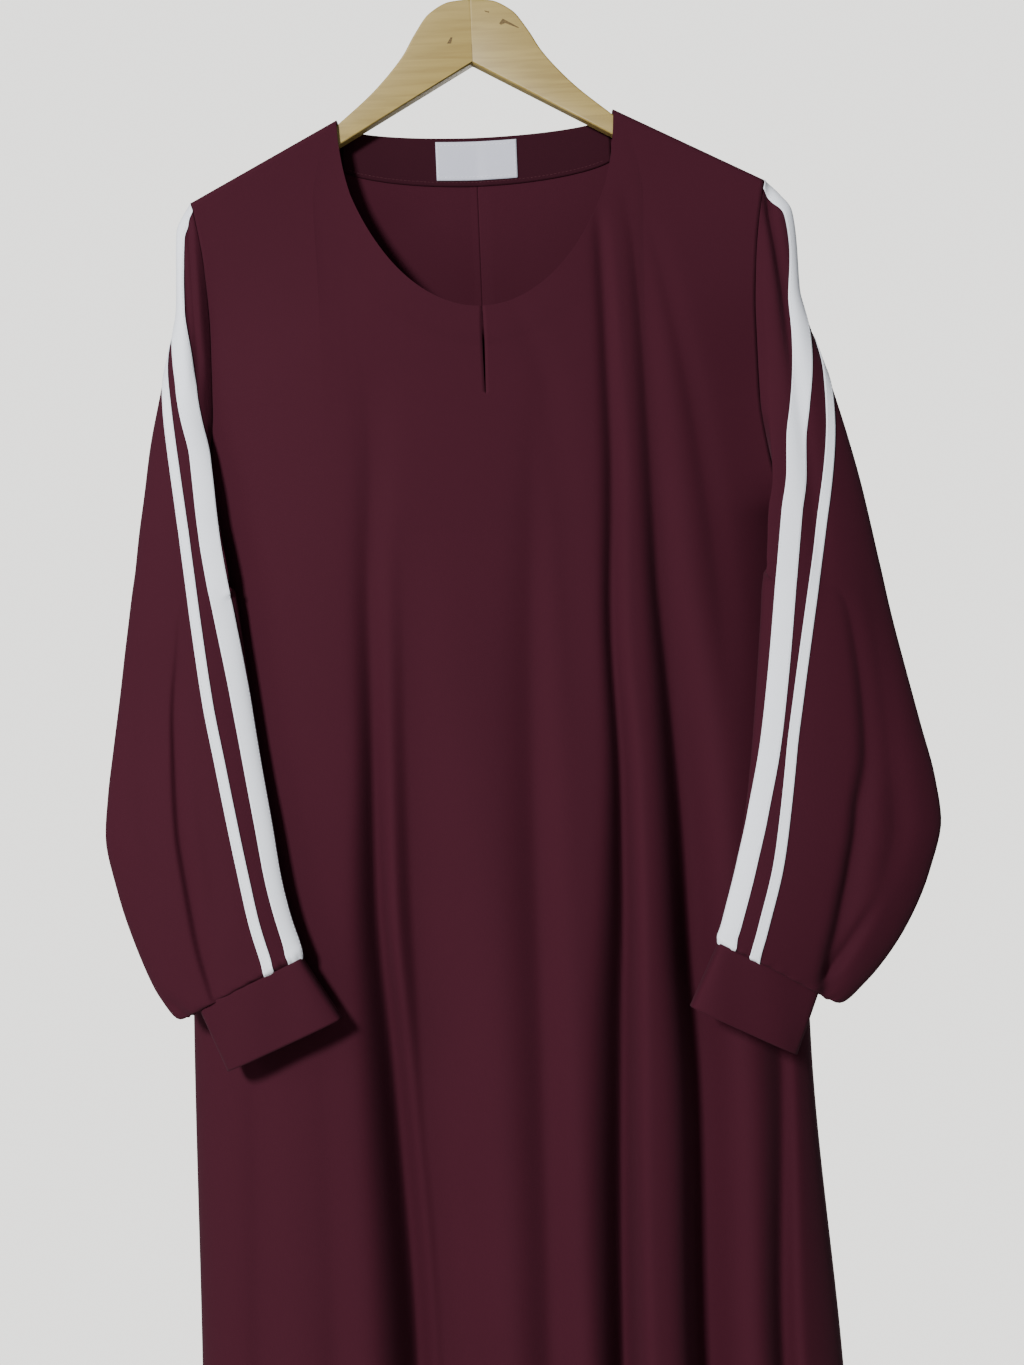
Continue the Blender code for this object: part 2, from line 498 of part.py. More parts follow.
def tube_ring(angle, row, side):
    """A flattened ring between its outer edge, at angle 0, and its inner edge, half a turn either way.
    Below the armhole the sleeve's own seam still lies outside and behind that inner edge."""
    r = dict(zip(RING_COLUMNS, row))
    inward = ((1 - np.cos(angle)) / 2)[..., None]
    outer = np.array((side * r["outer_x"], r["outer_y"], r["outer_z"]))
    inner = np.array((side * r["inner_x"], r["inner_y"], r["inner_z"]))
    seam = np.array((side * r["seam_out"], r["seam_back"], 0.0))
    forward = (angle >= 0)[..., None]
    points = outer + (np.where(forward, inner, inner + seam) - outer) * inward
    bulge = np.abs(np.sin(angle)) ** r["square"]
    points[..., 1] += bulge * np.where(angle >= 0, -r["front"], r["back"])
    return points + seam * turn_back(angle)


def head_ring(angle, row, drop, side):
    """A ring of the sleeve's head. Its front runs to a fold beside the armhole and back to the armhole's
    front edge, and its back runs to the back edge. Near the shoulder both leave the armhole more flatly."""
    r = dict(zip(HEAD_COLUMNS, row))
    front_edge = armhole_point(drop, side, True)
    back_edge = armhole_point(drop, side, False)
    fold = front_edge - np.array((side * r["overhang"], r["forward"], 0.0))
    beside = np.maximum(np.abs(angle) / math.pi, 0.5)
    flat = eased(-0.045, 0.045, 0.150 - drop)
    inward = (1 - np.cos(angle)) / 2
    inward = (inward + (np.where(beside > 0.5, beside, inward) - inward) * flat)[..., None]
    forward = (angle >= 0)[..., None]
    outer = np.array((side * r["outer_x"], r["outer_y"], r["outer_z"]))
    points = outer + (np.where(forward, fold, back_edge) - outer) * inward
    points[..., 1] += np.abs(np.sin(angle)) * np.where(angle >= 0, -r["front"], r["back"])
    return points + (front_edge - fold) * turn_back(angle)


def turn_back(angle):
    """How far a ring has turned back from its fold to its seam, across, in depth and in height."""
    t = eased(FOLD_ANGLE, math.pi, angle)
    return np.stack([1 - (1 - t) ** 1.5, t**1.5, t], axis=-1)


def sleeve_rings(angle, head, tube, side):
    """Every ring of a sleeve at the given angles: over the shoulder, down the armhole, then the tube."""
    rings = [cap_ring(angle, side)]
    rings += [head_ring(angle, row, drop, side) for row, drop in zip(head, ARMHOLE_DROPS[CAP_DROPS + 1 :])]
    rings += [tube_ring(angle, row, side) for row in tube]
    return np.stack(rings)


def sleeve_point(angle, ring, head, tube, pleat, side):
    """Outer face of a sleeve at an angle round it and a place along its rings, counted from the armhole."""
    rings = sleeve_rings(angle, head, tube, side)
    flat = rings.reshape(len(rings), -1, 3)
    ring = np.broadcast_to(ring, angle.shape)
    out = np.stack([column_curve(flat[:, :, axis], ring.ravel()) for axis in range(3)], axis=-1)
    out = out.reshape(angle.shape + (3,))
    where = smooth_through(pleat["ring"], pleat["angle"], ring)
    depth = smooth_through(pleat["ring"], pleat["depth"], ring)
    widths = [0.03] * (1 + len(head)) + [math.hypot(row[0] - row[3], row[1] - row[4]) for row in tube]
    off = (np.cos(np.radians(where)) - np.cos(angle)) / 2 * np.interp(ring, range(len(rings)), widths)
    out[..., 1] += depth * np.exp(-((off / PLEAT_WIDTH) ** 2)) * (angle > 0)
    x, z = out[..., 0], out[..., 2]
    beyond = np.maximum(np.abs(x) - side_x(x, z), 0.0)
    limit = front_y(x, z) - BODY_CLEARANCE + 4 * beyond
    weight = np.where(angle > 0, eased(5.0, 7.0, ring), eased(10.0, 11.5, ring))
    weight = weight * eased(0.0, 0.25, math.pi - np.abs(angle) + eased(11.0, 12.0, ring))
    out[..., 1] += weight * np.minimum(limit - out[..., 1], 0.0)
    return out


def column_curve(values, at):
    """A smooth curve down each column of values, one step apart, read at one place for each column."""
    slopes = np.diff(values, axis=0)
    before, after = slopes[:-1], slopes[1:]
    turns = before * after <= 0
    tangents = np.zeros_like(values)
    tangents[1:-1] = np.where(turns, 0.0, 2 * before * after / np.where(turns, 1.0, before + after))
    tangents[0], tangents[-1] = slopes[0], slopes[-1]
    k = np.clip(np.floor(at).astype(int), 0, len(values) - 2)
    t = at - k
    column = np.arange(values.shape[1])
    a = (1 + 2 * t) * (1 - t) ** 2
    b = t * (1 - t) ** 2
    c = t * t * (3 - 2 * t)
    d = t * t * (t - 1)
    near, far = values[k, column], values[k + 1, column]
    return a * near + b * tangents[k, column] + c * far + d * tangents[k + 1, column]


def tape_edges(path, width, rings, shape, side):
    """Angles of the two edges and the middle of a tape at each ring, from its width measured round the
    sleeve and from how far aslant it runs."""
    middle = np.radians(np.array(path, float))
    centre = sleeve_point(middle, rings, *shape, side)
    ahead = np.gradient(centre, axis=0)
    ahead /= np.linalg.norm(ahead, axis=-1, keepdims=True)
    fine = np.linspace(-1.5, 1.5, 301)
    angle = np.clip(middle[:, None] + fine, -math.pi, math.pi)
    around = sleeve_point(angle, rings[:, None], *shape, side)
    length = np.linalg.norm(np.diff(around, axis=1), axis=-1)
    reach = np.concatenate([np.zeros((len(rings), 1)), np.cumsum(length, axis=1)], axis=1)
    reach -= reach[:, 150:151]
    tangent = around[:, 155] - around[:, 145]
    tangent /= np.linalg.norm(tangent, axis=-1, keepdims=True)
    slant = np.sqrt(1 - np.clip(np.sum(tangent * ahead, axis=-1), -0.8, 0.8) ** 2)
    slant[0] = 1.0
    edges = []
    for way in (1, 0, -1):
        steps = way * width / 2 / slant
        edge = middle + [np.interp(step, r, fine) for step, r in zip(steps, reach)]
        edges.append(np.minimum(edge, math.pi - 0.15))
    return edges


def sleeve_angles(tapes, rings, shape, side):
    """Angles of the sleeve's columns at each ring, from the inner edge of its front, over the outer edge,
    to the inner edge of its back. Some columns are the edges of the tapes."""
    wide = tape_edges(tapes["wide"], WIDE_TAPE, rings, shape, side)
    narrow = tape_edges(tapes["narrow"], NARROW_TAPE, rings, shape, side)
    outer = np.minimum(0.0, narrow[2] - 0.45)
    half_turn = np.full(len(rings), math.pi)
    marks = [half_turn, wide[0], wide[2], narrow[0], narrow[2], outer, -half_turn]
    columns = [marks[0]]
    for start, end, steps in zip(marks, marks[1:], SLEEVE_STEPS.values()):
        columns += [start + (end - start) * k / steps for k in range(1, steps + 1)]
    return np.stack(columns, axis=1)


def make_sleeve(name, tapes, shape, end_row, side):
    """The sleeve, and the points of its outer face under each tape."""
    head, tube, pleat = shape
    rings = np.arange(1.0 + len(head) + len(tube))
    angle = sleeve_angles(tapes, rings, shape, side)
    points = sleeve_point(angle, rings[:, None], *shape, side)
    along = tube_ring(angle[-1], end_row, side) - tube_ring(angle[-1], tube[-1], side)
    outwards = (float(side), 0.0, 0.0)
    armhole = slice(0, len(head) + 1)
    edges = [((0, slice(None)), outwards), ((-1, slice(None)), -along)]
    edges += [((armhole, 0), outwards), ((armhole, -1), outwards)]
    cloth_object(name, [points], WALL, "cloth", CLOTH, 0.85, ways=(side,), level=[edges], joined=len(head))
    first = SLEEVE_STEPS["inner"]
    second = first + SLEEVE_STEPS["wide"] + SLEEVE_STEPS["between"]
    return angle[-1], points, (first, SLEEVE_STEPS["wide"]), (second, SLEEVE_STEPS["narrow"])


def make_cuff(name, angle, top_row, end_row, side):
    """The cuff's band, from a seam's gap below the sleeve to its open end."""
    top = tube_ring(angle, top_row, side)
    end = tube_ring(angle, end_row, side)
    along = end - top
    start = top + along / np.linalg.norm(along, axis=-1, keepdims=True) * SEAM
    points = np.stack([start, (start + end) / 2, end])
    edges = [((0, slice(None)), along), ((-1, slice(None)), along), ((-1, slice(None)), -along)]
    cloth_object(name, [points], WALL, "cloth", CLOTH, 0.85, ways=(side,), level=[edges], joined=0)


def make_tape(name, sleeve_points, columns, side):
    """A flat tape on the sleeve: the sleeve's own points there, moved out by the seam's gap and the tape's
    thickness, and stopped a little short of both seams."""
    first, steps = columns
    wall = -(SEAM + TRIM_WALL)
    lifted = inner_points(sleeve_points, wall, side, (), 9999)
    points = lifted[:, first : first + steps + 1].copy()
    points[0] += (points[1] - points[0]) * 0.10
    points[-1] += (points[-2] - points[-1]) * 0.15
    cloth_object(name, [points], TRIM_WALL, "tape", WHITE, 0.6, ways=(side,))


def head_outline(count):
    """Top edge of the hanger from the middle of its head to the neck of the garment, as x and z."""
    x = np.linspace(0.0, NECK_X, count)
    places = (0.0, 0.0140, 0.0290, 0.0400, 0.0480, 0.0580, 0.0720, NECK_X)
    under = shoulder_z(NECK_X) - arm_below_cloth()
    heights = (HEAD_TOP_Z, -0.0613, -0.0690, -0.0835, -0.0970, -0.1095, -0.1240, under)
    return x, smooth_through(places, heights, x)


def arm_below_cloth():
    """Drop from the shoulder seam's outer face to the top of the wood under it."""
    return (WALL + WOOD_PLAY) * math.hypot(1.0, SHOULDER_SLOPE)


def make_hanger_half(name, side):
    """One half of the wooden hanger, sawn from flat board: head, sloping arm and rounded end."""
    top_x, top_z = head_outline(15)
    outline = list(zip(top_x, top_z))
    end_top_z = float(shoulder_z(ARM_END_X)) - arm_below_cloth()
    half = ARM_END_HEIGHT / 2
    slope = math.atan(SHOULDER_SLOPE)
    middle = (ARM_END_X - half * math.sin(slope), end_top_z - half * math.cos(slope))
    for k in range(7):
        turn = math.pi / 2 - slope - k * math.pi / 6
        outline.append((middle[0] + half * math.cos(turn), middle[1] + half * math.sin(turn)))
    neck_under = CROTCH_Z - ARM_UNDER_SLOPE * NECK_X
    outline.append((NECK_X, neck_under))
    outline.append((0.0, CROTCH_Z))
    bm = bmesh.new()
    offset = SEAM / 2
    verts = [bm.verts.new((side * max(x, offset), -WOOD_THICK / 2, z)) for x, z in outline]
    face = bm.faces.new(verts)
    grown = bmesh.ops.extrude_face_region(bm, geom=[face])
    moved = [v for v in grown["geom"] if isinstance(v, bmesh.types.BMVert)]
    bmesh.ops.translate(bm, verts=moved, vec=(0.0, WOOD_THICK, 0.0))
    bmesh.ops.recalc_face_normals(bm, faces=bm.faces)
    mesh = bpy.data.meshes.new(name)
    bm.to_mesh(mesh)
    bm.free()
    obj = link(bpy.data.objects.new(name, mesh), "wood", WOOD, 0.5)
    bevel = obj.modifiers.new("edges", "BEVEL")
    bevel.width = WOOD_EDGE
    bevel.segments = 2
    bevel.limit_method = "ANGLE"
    bevel.angle_limit = math.radians(60)


def make_hook():
    """The wire hook: over the rail, round, and straight down into the head."""
    line = HOOK_RADIUS + WIRE_RADIUS
    points = []
    for k in range(25):
        turn = math.radians(200 - k * 250 / 24)
        points.append((line * math.cos(turn), line * math.sin(turn) - HOOK_RADIUS))
    last_x, last_z = points[-1]
    for k in range(1, 9):
        t = k / 8
        smooth = t * t * (3 - 2 * t)
        points.append((last_x * (1 - smooth), last_z + (STEM_TOP_Z - last_z) * t))
    points.append((0.0, HEAD_TOP_Z + SEAM))
    bm = bmesh.new()
    line = np.array([(x, 0.0, z) for x, z in points])
    ahead = np.gradient(line, axis=0)
    ahead /= np.linalg.norm(ahead, axis=-1, keepdims=True)
    rings = []
    for place, forward in zip(line, ahead):
        beside = np.cross(forward, (0.0, 1.0, 0.0))
        ring = []
        for k in range(WIRE_SIDES):
            turn = 2 * math.pi * k / WIRE_SIDES
            out = beside * math.cos(turn) + np.array((0.0, 1.0, 0.0)) * math.sin(turn)
            ring.append(bm.verts.new(place + out * WIRE_RADIUS))
        rings.append(ring)
    for ring, following in zip(rings, rings[1:]):
        for k in range(WIRE_SIDES):
            m = (k + 1) % WIRE_SIDES
            bm.faces.new((ring[k], ring[m], following[m], following[k]))
    bm.faces.new(rings[0][::-1])
    bm.faces.new(rings[-1])
    bmesh.ops.recalc_face_normals(bm, faces=bm.faces)
    mesh = bpy.data.meshes.new("hook")
    bm.to_mesh(mesh)
    bm.free()
    link(bpy.data.objects.new("hook", mesh), "steel", STEEL, 0.3, 1.0)


def main():
    clear_scene()
    make_hook()
    make_hanger_half("hanger_right", -1)
    make_hanger_half("hanger_left", 1)
    make_front()
    make_backs()
    make_facing_and_label()
    for name, shape, end, tapes, side in (
        ("right", (RIGHT_HEAD, RIGHT_TUBE, RIGHT_PLEAT), RIGHT_CUFF_END, RIGHT_TAPES, -1),
        ("left", (LEFT_HEAD, LEFT_TUBE, LEFT_PLEAT), LEFT_CUFF_END, LEFT_TAPES, 1),
    ):
        angle, grid, wide, narrow = make_sleeve("sleeve_" + name, tapes, shape, end, side)
        make_cuff("cuff_" + name, angle, shape[1][-1], end, side)
        make_tape("wide_tape_" + name, grid, wide, side)
        make_tape("narrow_tape_" + name, grid, narrow, side)


main()
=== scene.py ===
import math

import bmesh
import bpy
import numpy as np
from mathutils import Matrix, Vector


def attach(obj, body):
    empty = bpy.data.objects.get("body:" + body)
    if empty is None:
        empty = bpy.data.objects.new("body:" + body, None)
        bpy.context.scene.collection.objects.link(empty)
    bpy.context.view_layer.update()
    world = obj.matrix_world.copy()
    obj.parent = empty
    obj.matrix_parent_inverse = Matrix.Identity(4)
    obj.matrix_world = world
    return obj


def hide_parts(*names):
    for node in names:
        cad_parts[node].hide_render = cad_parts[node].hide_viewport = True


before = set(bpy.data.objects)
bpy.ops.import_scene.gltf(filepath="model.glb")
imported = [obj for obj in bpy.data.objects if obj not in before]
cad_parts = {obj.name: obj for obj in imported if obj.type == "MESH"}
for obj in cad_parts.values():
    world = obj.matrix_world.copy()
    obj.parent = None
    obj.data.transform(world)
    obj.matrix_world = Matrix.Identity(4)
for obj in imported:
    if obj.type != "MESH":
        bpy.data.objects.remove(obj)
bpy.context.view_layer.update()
print("frame loaded")

# Photograph's view, light and floor. The garment faces -Y, its wearer's left is at +X, metres throughout
view = {"place": (0.0102, -1.5, -0.538), "roll": 2.3, "lens": 56.5, "sensor": 36}
light = {
    "ambient": 0.225, "sky": (0.95, 0.97, 1.0), "backdrop": (2.05, 2.03, 1.95),
    "boxes": {
        "softBoxLeft": {"place": (-1.75, -3.15, 0.75), "target": (0.0, 0.0, -0.6), "size": 0.6, "watts": 222},
        "softBoxSide": {"place": (-2.7, -1.3, -0.1), "target": (0.0, 0.0, -0.6), "size": 0.9, "watts": 11},
        "softBoxBack": {"place": (0.8, 2.2, 0.6), "target": (0.0, 0.0, -0.7), "size": 1.6, "watts": 31},
    },
}
floor = {"z": -1.60, "half": 1.55, "colour": (0.62, 0.62, 0.59), "roughness": 0.9}


def addObject(name, data):
    # An object at the origin that shows the given data
    made = bpy.data.objects.new(name, data)
    bpy.context.scene.collection.objects.link(made)
    return made


def newMesh(name, verts, faces):
    # A mesh of the given corners and faces
    mesh = bpy.data.meshes.new(name)
    mesh.from_pydata(verts, [], faces)
    return mesh


def newMaterial(name):
    # A new material with its node tree and its Principled shader
    made = bpy.data.materials.new(name)
    made.use_nodes = True
    return made, made.node_tree, made.node_tree.nodes["Principled BSDF"]


def setInputs(node, values):
    # Plain numbers and colours on a node's own sockets
    for label, value in values.items():
        node.inputs[label].default_value = value


def makeCamera():
    # Looks along +Y and leans by the roll, so the garment stands as it does in the photograph
    data = bpy.data.cameras.new("camera")
    data.lens = view["lens"]
    data.sensor_width = view["sensor"]
    camera = addObject("camera", data)
    turn = Matrix.Rotation(math.radians(view["roll"]), 4, "Y") @ Matrix.Rotation(math.radians(90), 4, "X")
    camera.matrix_world = Matrix.Translation(view["place"]) @ turn
    bpy.context.scene.camera = camera


def makeLamp(name, place, target, size, watts):
    # A square soft box that faces its target
    data = bpy.data.lights.new(name, "AREA")
    data.size = size
    data.energy = watts
    lamp = addObject(name, data)
    lamp.location = place
    lamp.rotation_euler = (Vector(place) - Vector(target)).to_track_quat("Z", "Y").to_euler()


def makeWorld():
    # Pale world, seen brighter than it lights
    world = bpy.data.worlds.new("paleRoom")
    bpy.context.scene.world = world
    world.use_nodes = True
    nodes, links = world.node_tree.nodes, world.node_tree.links
    nodes.clear()
    out = nodes.new("ShaderNodeOutputWorld")
    mix = nodes.new("ShaderNodeMixShader")
    path = nodes.new("ShaderNodeLightPath")
    links.new(path.outputs["Is Camera Ray"], mix.inputs[0])
    for slot, colour, strength in ((1, light["sky"], light["ambient"]), (2, light["backdrop"], 1.0)):
        glow = nodes.new("ShaderNodeBackground")
        setInputs(glow, {"Color": (*colour, 1), "Strength": strength})
        links.new(glow.outputs[0], mix.inputs[slot])
    links.new(mix.outputs[0], out.inputs["Surface"])


def makeFloor():
    # One plain pale square under the hem
    half, z = floor["half"], floor["z"]
    corners = [(-half, -half, z), (half, -half, z), (half, half, z), (-half, half, z)]
    mesh = newMesh("floor", corners, [(0, 1, 2, 3)])
    paint, _, shader = newMaterial("floorPaint")
    setInputs(shader, {"Base Color": (*floor["colour"], 1), "Roughness": floor["roughness"]})
    mesh.materials.append(paint)
    addObject("floor", mesh)


makeCamera()
makeWorld()
makeFloor()
for name, box in light["boxes"].items():
    makeLamp(name, **box)
print("camera, floor and light set")


# Curves through tables

def eased(low, high, value):
    # 0 below low, 1 above high, with a smooth step between
    t = np.clip((value - low) / (high - low), 0.0, 1.0)
    return t * t * (3 - 2 * t)


def knotTangents(slopes):
    # At each knot the harmonic mean of its neighbours' slopes, and 0 where they turn; the end slopes at the ends
    before, after = slopes[:-1], slopes[1:]
    turns = before * after <= 0
    inner = np.where(turns, 0.0, 2 * before * after / np.where(turns, 1.0, before + after))
    return np.concatenate([slopes[:1], inner, slopes[-1:]])


def cubic(t, low, high, lowTangent, highTangent):
    # The cubic between two knots that has their values and tangents, at the share t of the way
    ends = (1 + 2 * t) * (1 - t) ** 2 * low + t * t * (3 - 2 * t) * high
    return ends + (t * (1 - t) ** 2 * lowTangent + t * t * (t - 1) * highTangent)


def smoothThrough(places, values, at):
    # Cubics through values at rising places
    places, values = np.asarray(places, float), np.asarray(values, float)
    at = np.clip(at, places[0], places[-1])
    steps = np.diff(places)
    tangents = knotTangents(np.diff(values) / steps)
    k = np.clip(np.searchsorted(places, at, side="right") - 1, 0, len(steps) - 1)
    h = steps[k]
    return cubic((at - places[k]) / h, values[k], values[k + 1], h * tangents[k], h * tangents[k + 1])


def columnCurve(values, at):
    # The same cubics down each column of values, one step apart, read at one place for each column
    tangents = knotTangents(np.diff(values, axis=0))
    k = np.clip(np.floor(at).astype(int), 0, len(values) - 2)
    column = np.arange(values.shape[1])
    low, high = (k, column), (k + 1, column)
    return cubic(at - k, values[low], values[high], tangents[low], tangents[high])


def throughTable(table, name, z):
    # One named column of a table that is read by height
    return smoothThrough(table["z"], table[name], z)


# Lines, grids and pieces

mergeWithin = 0.000003  # corners closer than this become one


def lengthAlong(path):
    # Running length along a line of points
    return np.concatenate([[0.0], np.cumsum(np.linalg.norm(np.diff(path, axis=0), axis=1))])


def pointsAt(at, reach, path):
    # Points of a line at given running lengths
    return np.stack([np.interp(at, reach, path[:, axis]) for axis in range(3)], axis=-1)


def unit(vectors):
    # The same directions, one metre long
    return vectors / np.linalg.norm(vectors, axis=-1, keepdims=True)


def gridNormals(points):
    # Unit normals of a grid from the cross product of its two gradients
    return unit(np.cross(np.gradient(points, axis=0), np.gradient(points, axis=1)))


def openMesh(mesh):
    # The mesh as a bmesh, to be worked on
    bm = bmesh.new()
    bm.from_mesh(mesh)
    return bm


def closeMesh(bm, mesh):
    # Writes the bmesh back into its mesh
    bm.to_mesh(mesh)
    bm.free()


def addPiece(name, mesh, material, node=None):
    # A piece that rides on the one body, in place of a CAD node if one is named
    mesh.materials.append(material)
    piece = addObject(name, mesh)
    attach(piece, "root")
    if node:
        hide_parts(node)
    return piece


def clothMesh(name, grids, material, wall, outward, node, merge=False):
    # Each grid of points, rows by columns, becomes quads; u and v are lengths along its middle row and
    # column. outward is a rough direction that a grid's faces should look in on the whole
    verts, quads, uvs, start = [], [], [], 0
    for points in grids:
        rows, columns = points.shape[:2]
        index = np.arange(rows * columns).reshape(rows, columns)
        quad = np.stack([index[:-1, :-1], index[1:, :-1], index[1:, 1:], index[:-1, 1:]], axis=-1).reshape(-1, 4)
        corner = points.reshape(-1, 3)
        normal = np.cross(corner[quad[:, 2]] - corner[quad[:, 0]], corner[quad[:, 3]] - corner[quad[:, 1]])
        centre = corner[quad].mean(axis=1)
        look = outward(centre) if callable(outward) else np.broadcast_to(outward, centre.shape)
        if np.sum(normal * look) < 0:
            quad = quad[:, ::-1]
        u, v = lengthAlong(points[rows // 2]), lengthAlong(points[:, columns // 2])
        uvs.append(np.stack(np.broadcast_arrays(u[None, :], -v[:, None]), axis=-1).reshape(-1, 2))
        verts.append(corner)
        quads.append(quad + start)
        start += rows * columns
    quads, uvs = np.concatenate(quads), np.concatenate(uvs)
    mesh = newMesh(name, np.concatenate(verts).tolist(), quads.tolist())
    mesh.uv_layers.new(name="cut")
    mesh.uv_layers["cut"].data.foreach_set("uv", uvs[quads.ravel()].ravel())
    if merge:
        bm = openMesh(mesh)
        bmesh.ops.remove_doubles(bm, verts=bm.verts, dist=mergeWithin)
        closeMesh(bm, mesh)
    mesh.shade_smooth()
    piece = addPiece(name, mesh, material, node)
    solid = piece.modifiers.new("wall", "SOLIDIFY")
    solid.thickness = wall
    solid.offset = -1
    return piece


# Materials

def nodeGroup(name, inputs, outputs):
    # An empty shader group: number inputs with their values, and number outputs
    group = bpy.data.node_groups.new(name, "ShaderNodeTree")
    for label, value in inputs.items():
        socket = group.interface.new_socket(name=label, in_out="INPUT", socket_type="NodeSocketFloat")
        socket.default_value = value
    for label in outputs:
        group.interface.new_socket(name=label, in_out="OUTPUT", socket_type="NodeSocketFloat")
    return group, group.nodes.new("NodeGroupInput"), group.nodes.new("NodeGroupOutput")


def mathNode(tree, operation, first, second=None):
    # One math step: each input is a socket or a number
    node = tree.nodes.new("ShaderNodeMath")
    node.operation = operation
    for slot, value in enumerate((first, second)):
        if isinstance(value, (int, float)):
            node.inputs[slot].default_value = value
        elif value is not None:
            tree.links.new(value, node.inputs[slot])
    return node.outputs[0]


def noiseNode(tree, place, values):
    # Noise read at a place
    node = tree.nodes.new("ShaderNodeTexNoise")
    setInputs(node, values)
    tree.links.new(place, node.inputs["Vector"])
    return node.outputs["Fac"]


def rampNode(tree, value, stops):
    # Colours between two stops, each a position and a colour
    ramp = tree.nodes.new("ShaderNodeValToRGB")
    for element, (position, colour) in zip(ramp.color_ramp.elements, stops):
        element.position = position
        element.color = (*colour, 1)
    tree.links.new(value, ramp.inputs[0])
    return ramp.outputs[0]


def addBump(tree, shader, height, distance, strength):
    # A bump that a height drives
    raised = tree.nodes.new("ShaderNodeBump")
    setInputs(raised, {"Distance": distance, "Strength": strength})
    tree.links.new(height, raised.inputs["Height"])
    tree.links.new(raised.outputs["Normal"], shader.inputs["Normal"])


clothLook = {
    "fullTurn": 6.2832, "crepe": {"Scale": 1100.0, "Detail": 2.0}, "cloud": {"Scale": 9.0, "Detail": 4.0},
    "threadHeight": 0.25, "grainHeight": 2.0, "grainShade": 0.35, "bumpStrength": 0.6,
    "specular": 0.15, "sheenRoughness": 0.5,
}
# Each cloth's colour, roughness and sheen, the height of its bump, and its weave's pitch in metres, slub and mottle
cloths = {
    "maroonCrepe": {
        "colour": (0.0390, 0.0041, 0.0117), "roughness": 0.85, "sheen": 0.03, "sheenTint": (0.9, 0.5, 0.65),
        "bump": 0.00010, "weave": {"pitch": 0.0006, "slub": 0.6, "mottle": 0.10},
    },
    # The facing's crepe is the maroon crepe two thirds as bright: painted shade, for the shade that falls inside
    # the back neck
    "facingCrepeInPaintedShade": {
        "colour": (0.0260, 0.0028, 0.0080), "roughness": 0.9, "sheen": 0.03, "sheenTint": (0.9, 0.5, 0.65),
        "bump": 0.00010, "weave": {"pitch": 0.0006, "slub": 0.6, "mottle": 0.08},
    },
    "whiteTape": {
        "colour": (0.90, 0.93, 1.0), "roughness": 0.6, "sheen": 0.10, "sheenTint": (1, 1, 1),
        "bump": 0.00008, "weave": {"pitch": 0.0009, "slub": 0.25, "mottle": 0.03},
    },
    "plainLabel": {
        "colour": (0.56, 0.57, 0.66), "roughness": 0.5, "sheen": 0.1, "sheenTint": (1, 1, 1),
        "bump": 0.00005, "weave": {"pitch": 0.0004, "slub": 0.2, "mottle": 0.03},
    },
    "maroonThread": {
        "colour": (0.060, 0.011, 0.020), "roughness": 0.6, "sheen": 0.1, "sheenTint": (1, 0.7, 0.7),
        "bump": 0.00003, "weave": {"pitch": 0.0004, "slub": 0.3, "mottle": 0.05},
    },
    "whiteThread": {
        "colour": (0.80, 0.83, 0.88), "roughness": 0.6, "sheen": 0.1, "sheenTint": (1, 1, 1),
        "bump": 0.00003, "weave": {"pitch": 0.0004, "slub": 0.3, "mottle": 0.03},
    },
}


def makeClothGroup():
    # Threads: two crossed sine waves of the cut's lengths, broken up by noise. Height is their sum, and
    # shade is a slow mottling with a little thread noise, around 1
    group, given, out = nodeGroup("wovenCloth", cloths["maroonCrepe"]["weave"], ("height", "shade"))
    place = group.nodes.new("ShaderNodeTexCoord")
    parts = group.nodes.new("ShaderNodeSeparateXYZ")
    group.links.new(place.outputs["UV"], parts.inputs[0])

    def step(operation, first, second=None):
        # One math step in this group
        return mathNode(group, operation, first, second)

    turns = step("DIVIDE", clothLook["fullTurn"], given.outputs["pitch"])
    warp, weft = (step("SINE", step("MULTIPLY", parts.outputs[axis], turns)) for axis in "XY")
    crepe = noiseNode(group, place.outputs["UV"], clothLook["crepe"])
    grain = step("MULTIPLY", step("SUBTRACT", crepe, 0.5), given.outputs["slub"])
    woven = step("MULTIPLY", step("ADD", warp, weft), clothLook["threadHeight"])
    height = step("ADD", woven, step("MULTIPLY", grain, clothLook["grainHeight"]))
    cloud = noiseNode(group, place.outputs["Object"], clothLook["cloud"])
    slow = step("MULTIPLY", step("SUBTRACT", cloud, 0.5), given.outputs["mottle"])
    shade = step("ADD", 1.0, step("ADD", slow, step("MULTIPLY", grain, clothLook["grainShade"])))
    group.links.new(height, out.inputs["height"])
    group.links.new(shade, out.inputs["shade"])
    return group


clothGroup = makeClothGroup()


def clothMaterial(name):
    # Principled cloth: the woven group shades its colour and drives a fine bump
    values = cloths[name]
    made, tree, shader = newMaterial(name)
    woven = tree.nodes.new("ShaderNodeGroup")
    woven.node_tree = clothGroup
    setInputs(woven, values["weave"])
    tint = tree.nodes.new("ShaderNodeMix")
    tint.data_type = "RGBA"
    tint.blend_type = "MULTIPLY"
    tint.inputs[0].default_value = 1.0
    tint.inputs[6].default_value = (*values["colour"], 1)
    tree.links.new(woven.outputs["shade"], tint.inputs[7])
    tree.links.new(tint.outputs[2], shader.inputs["Base Color"])
    addBump(tree, shader, woven.outputs["height"], values["bump"], clothLook["bumpStrength"])
    setInputs(shader, {
        "Roughness": values["roughness"], "Specular IOR Level": clothLook["specular"],
        "Sheen Weight": values["sheen"], "Sheen Roughness": clothLook["sheenRoughness"],
        "Sheen Tint": (*values["sheenTint"], 1),
    })
    return made


crepeCloth, facingCrepeInPaintedShade, tapeCloth, labelCloth, threadDark, threadPale = map(clothMaterial, cloths)

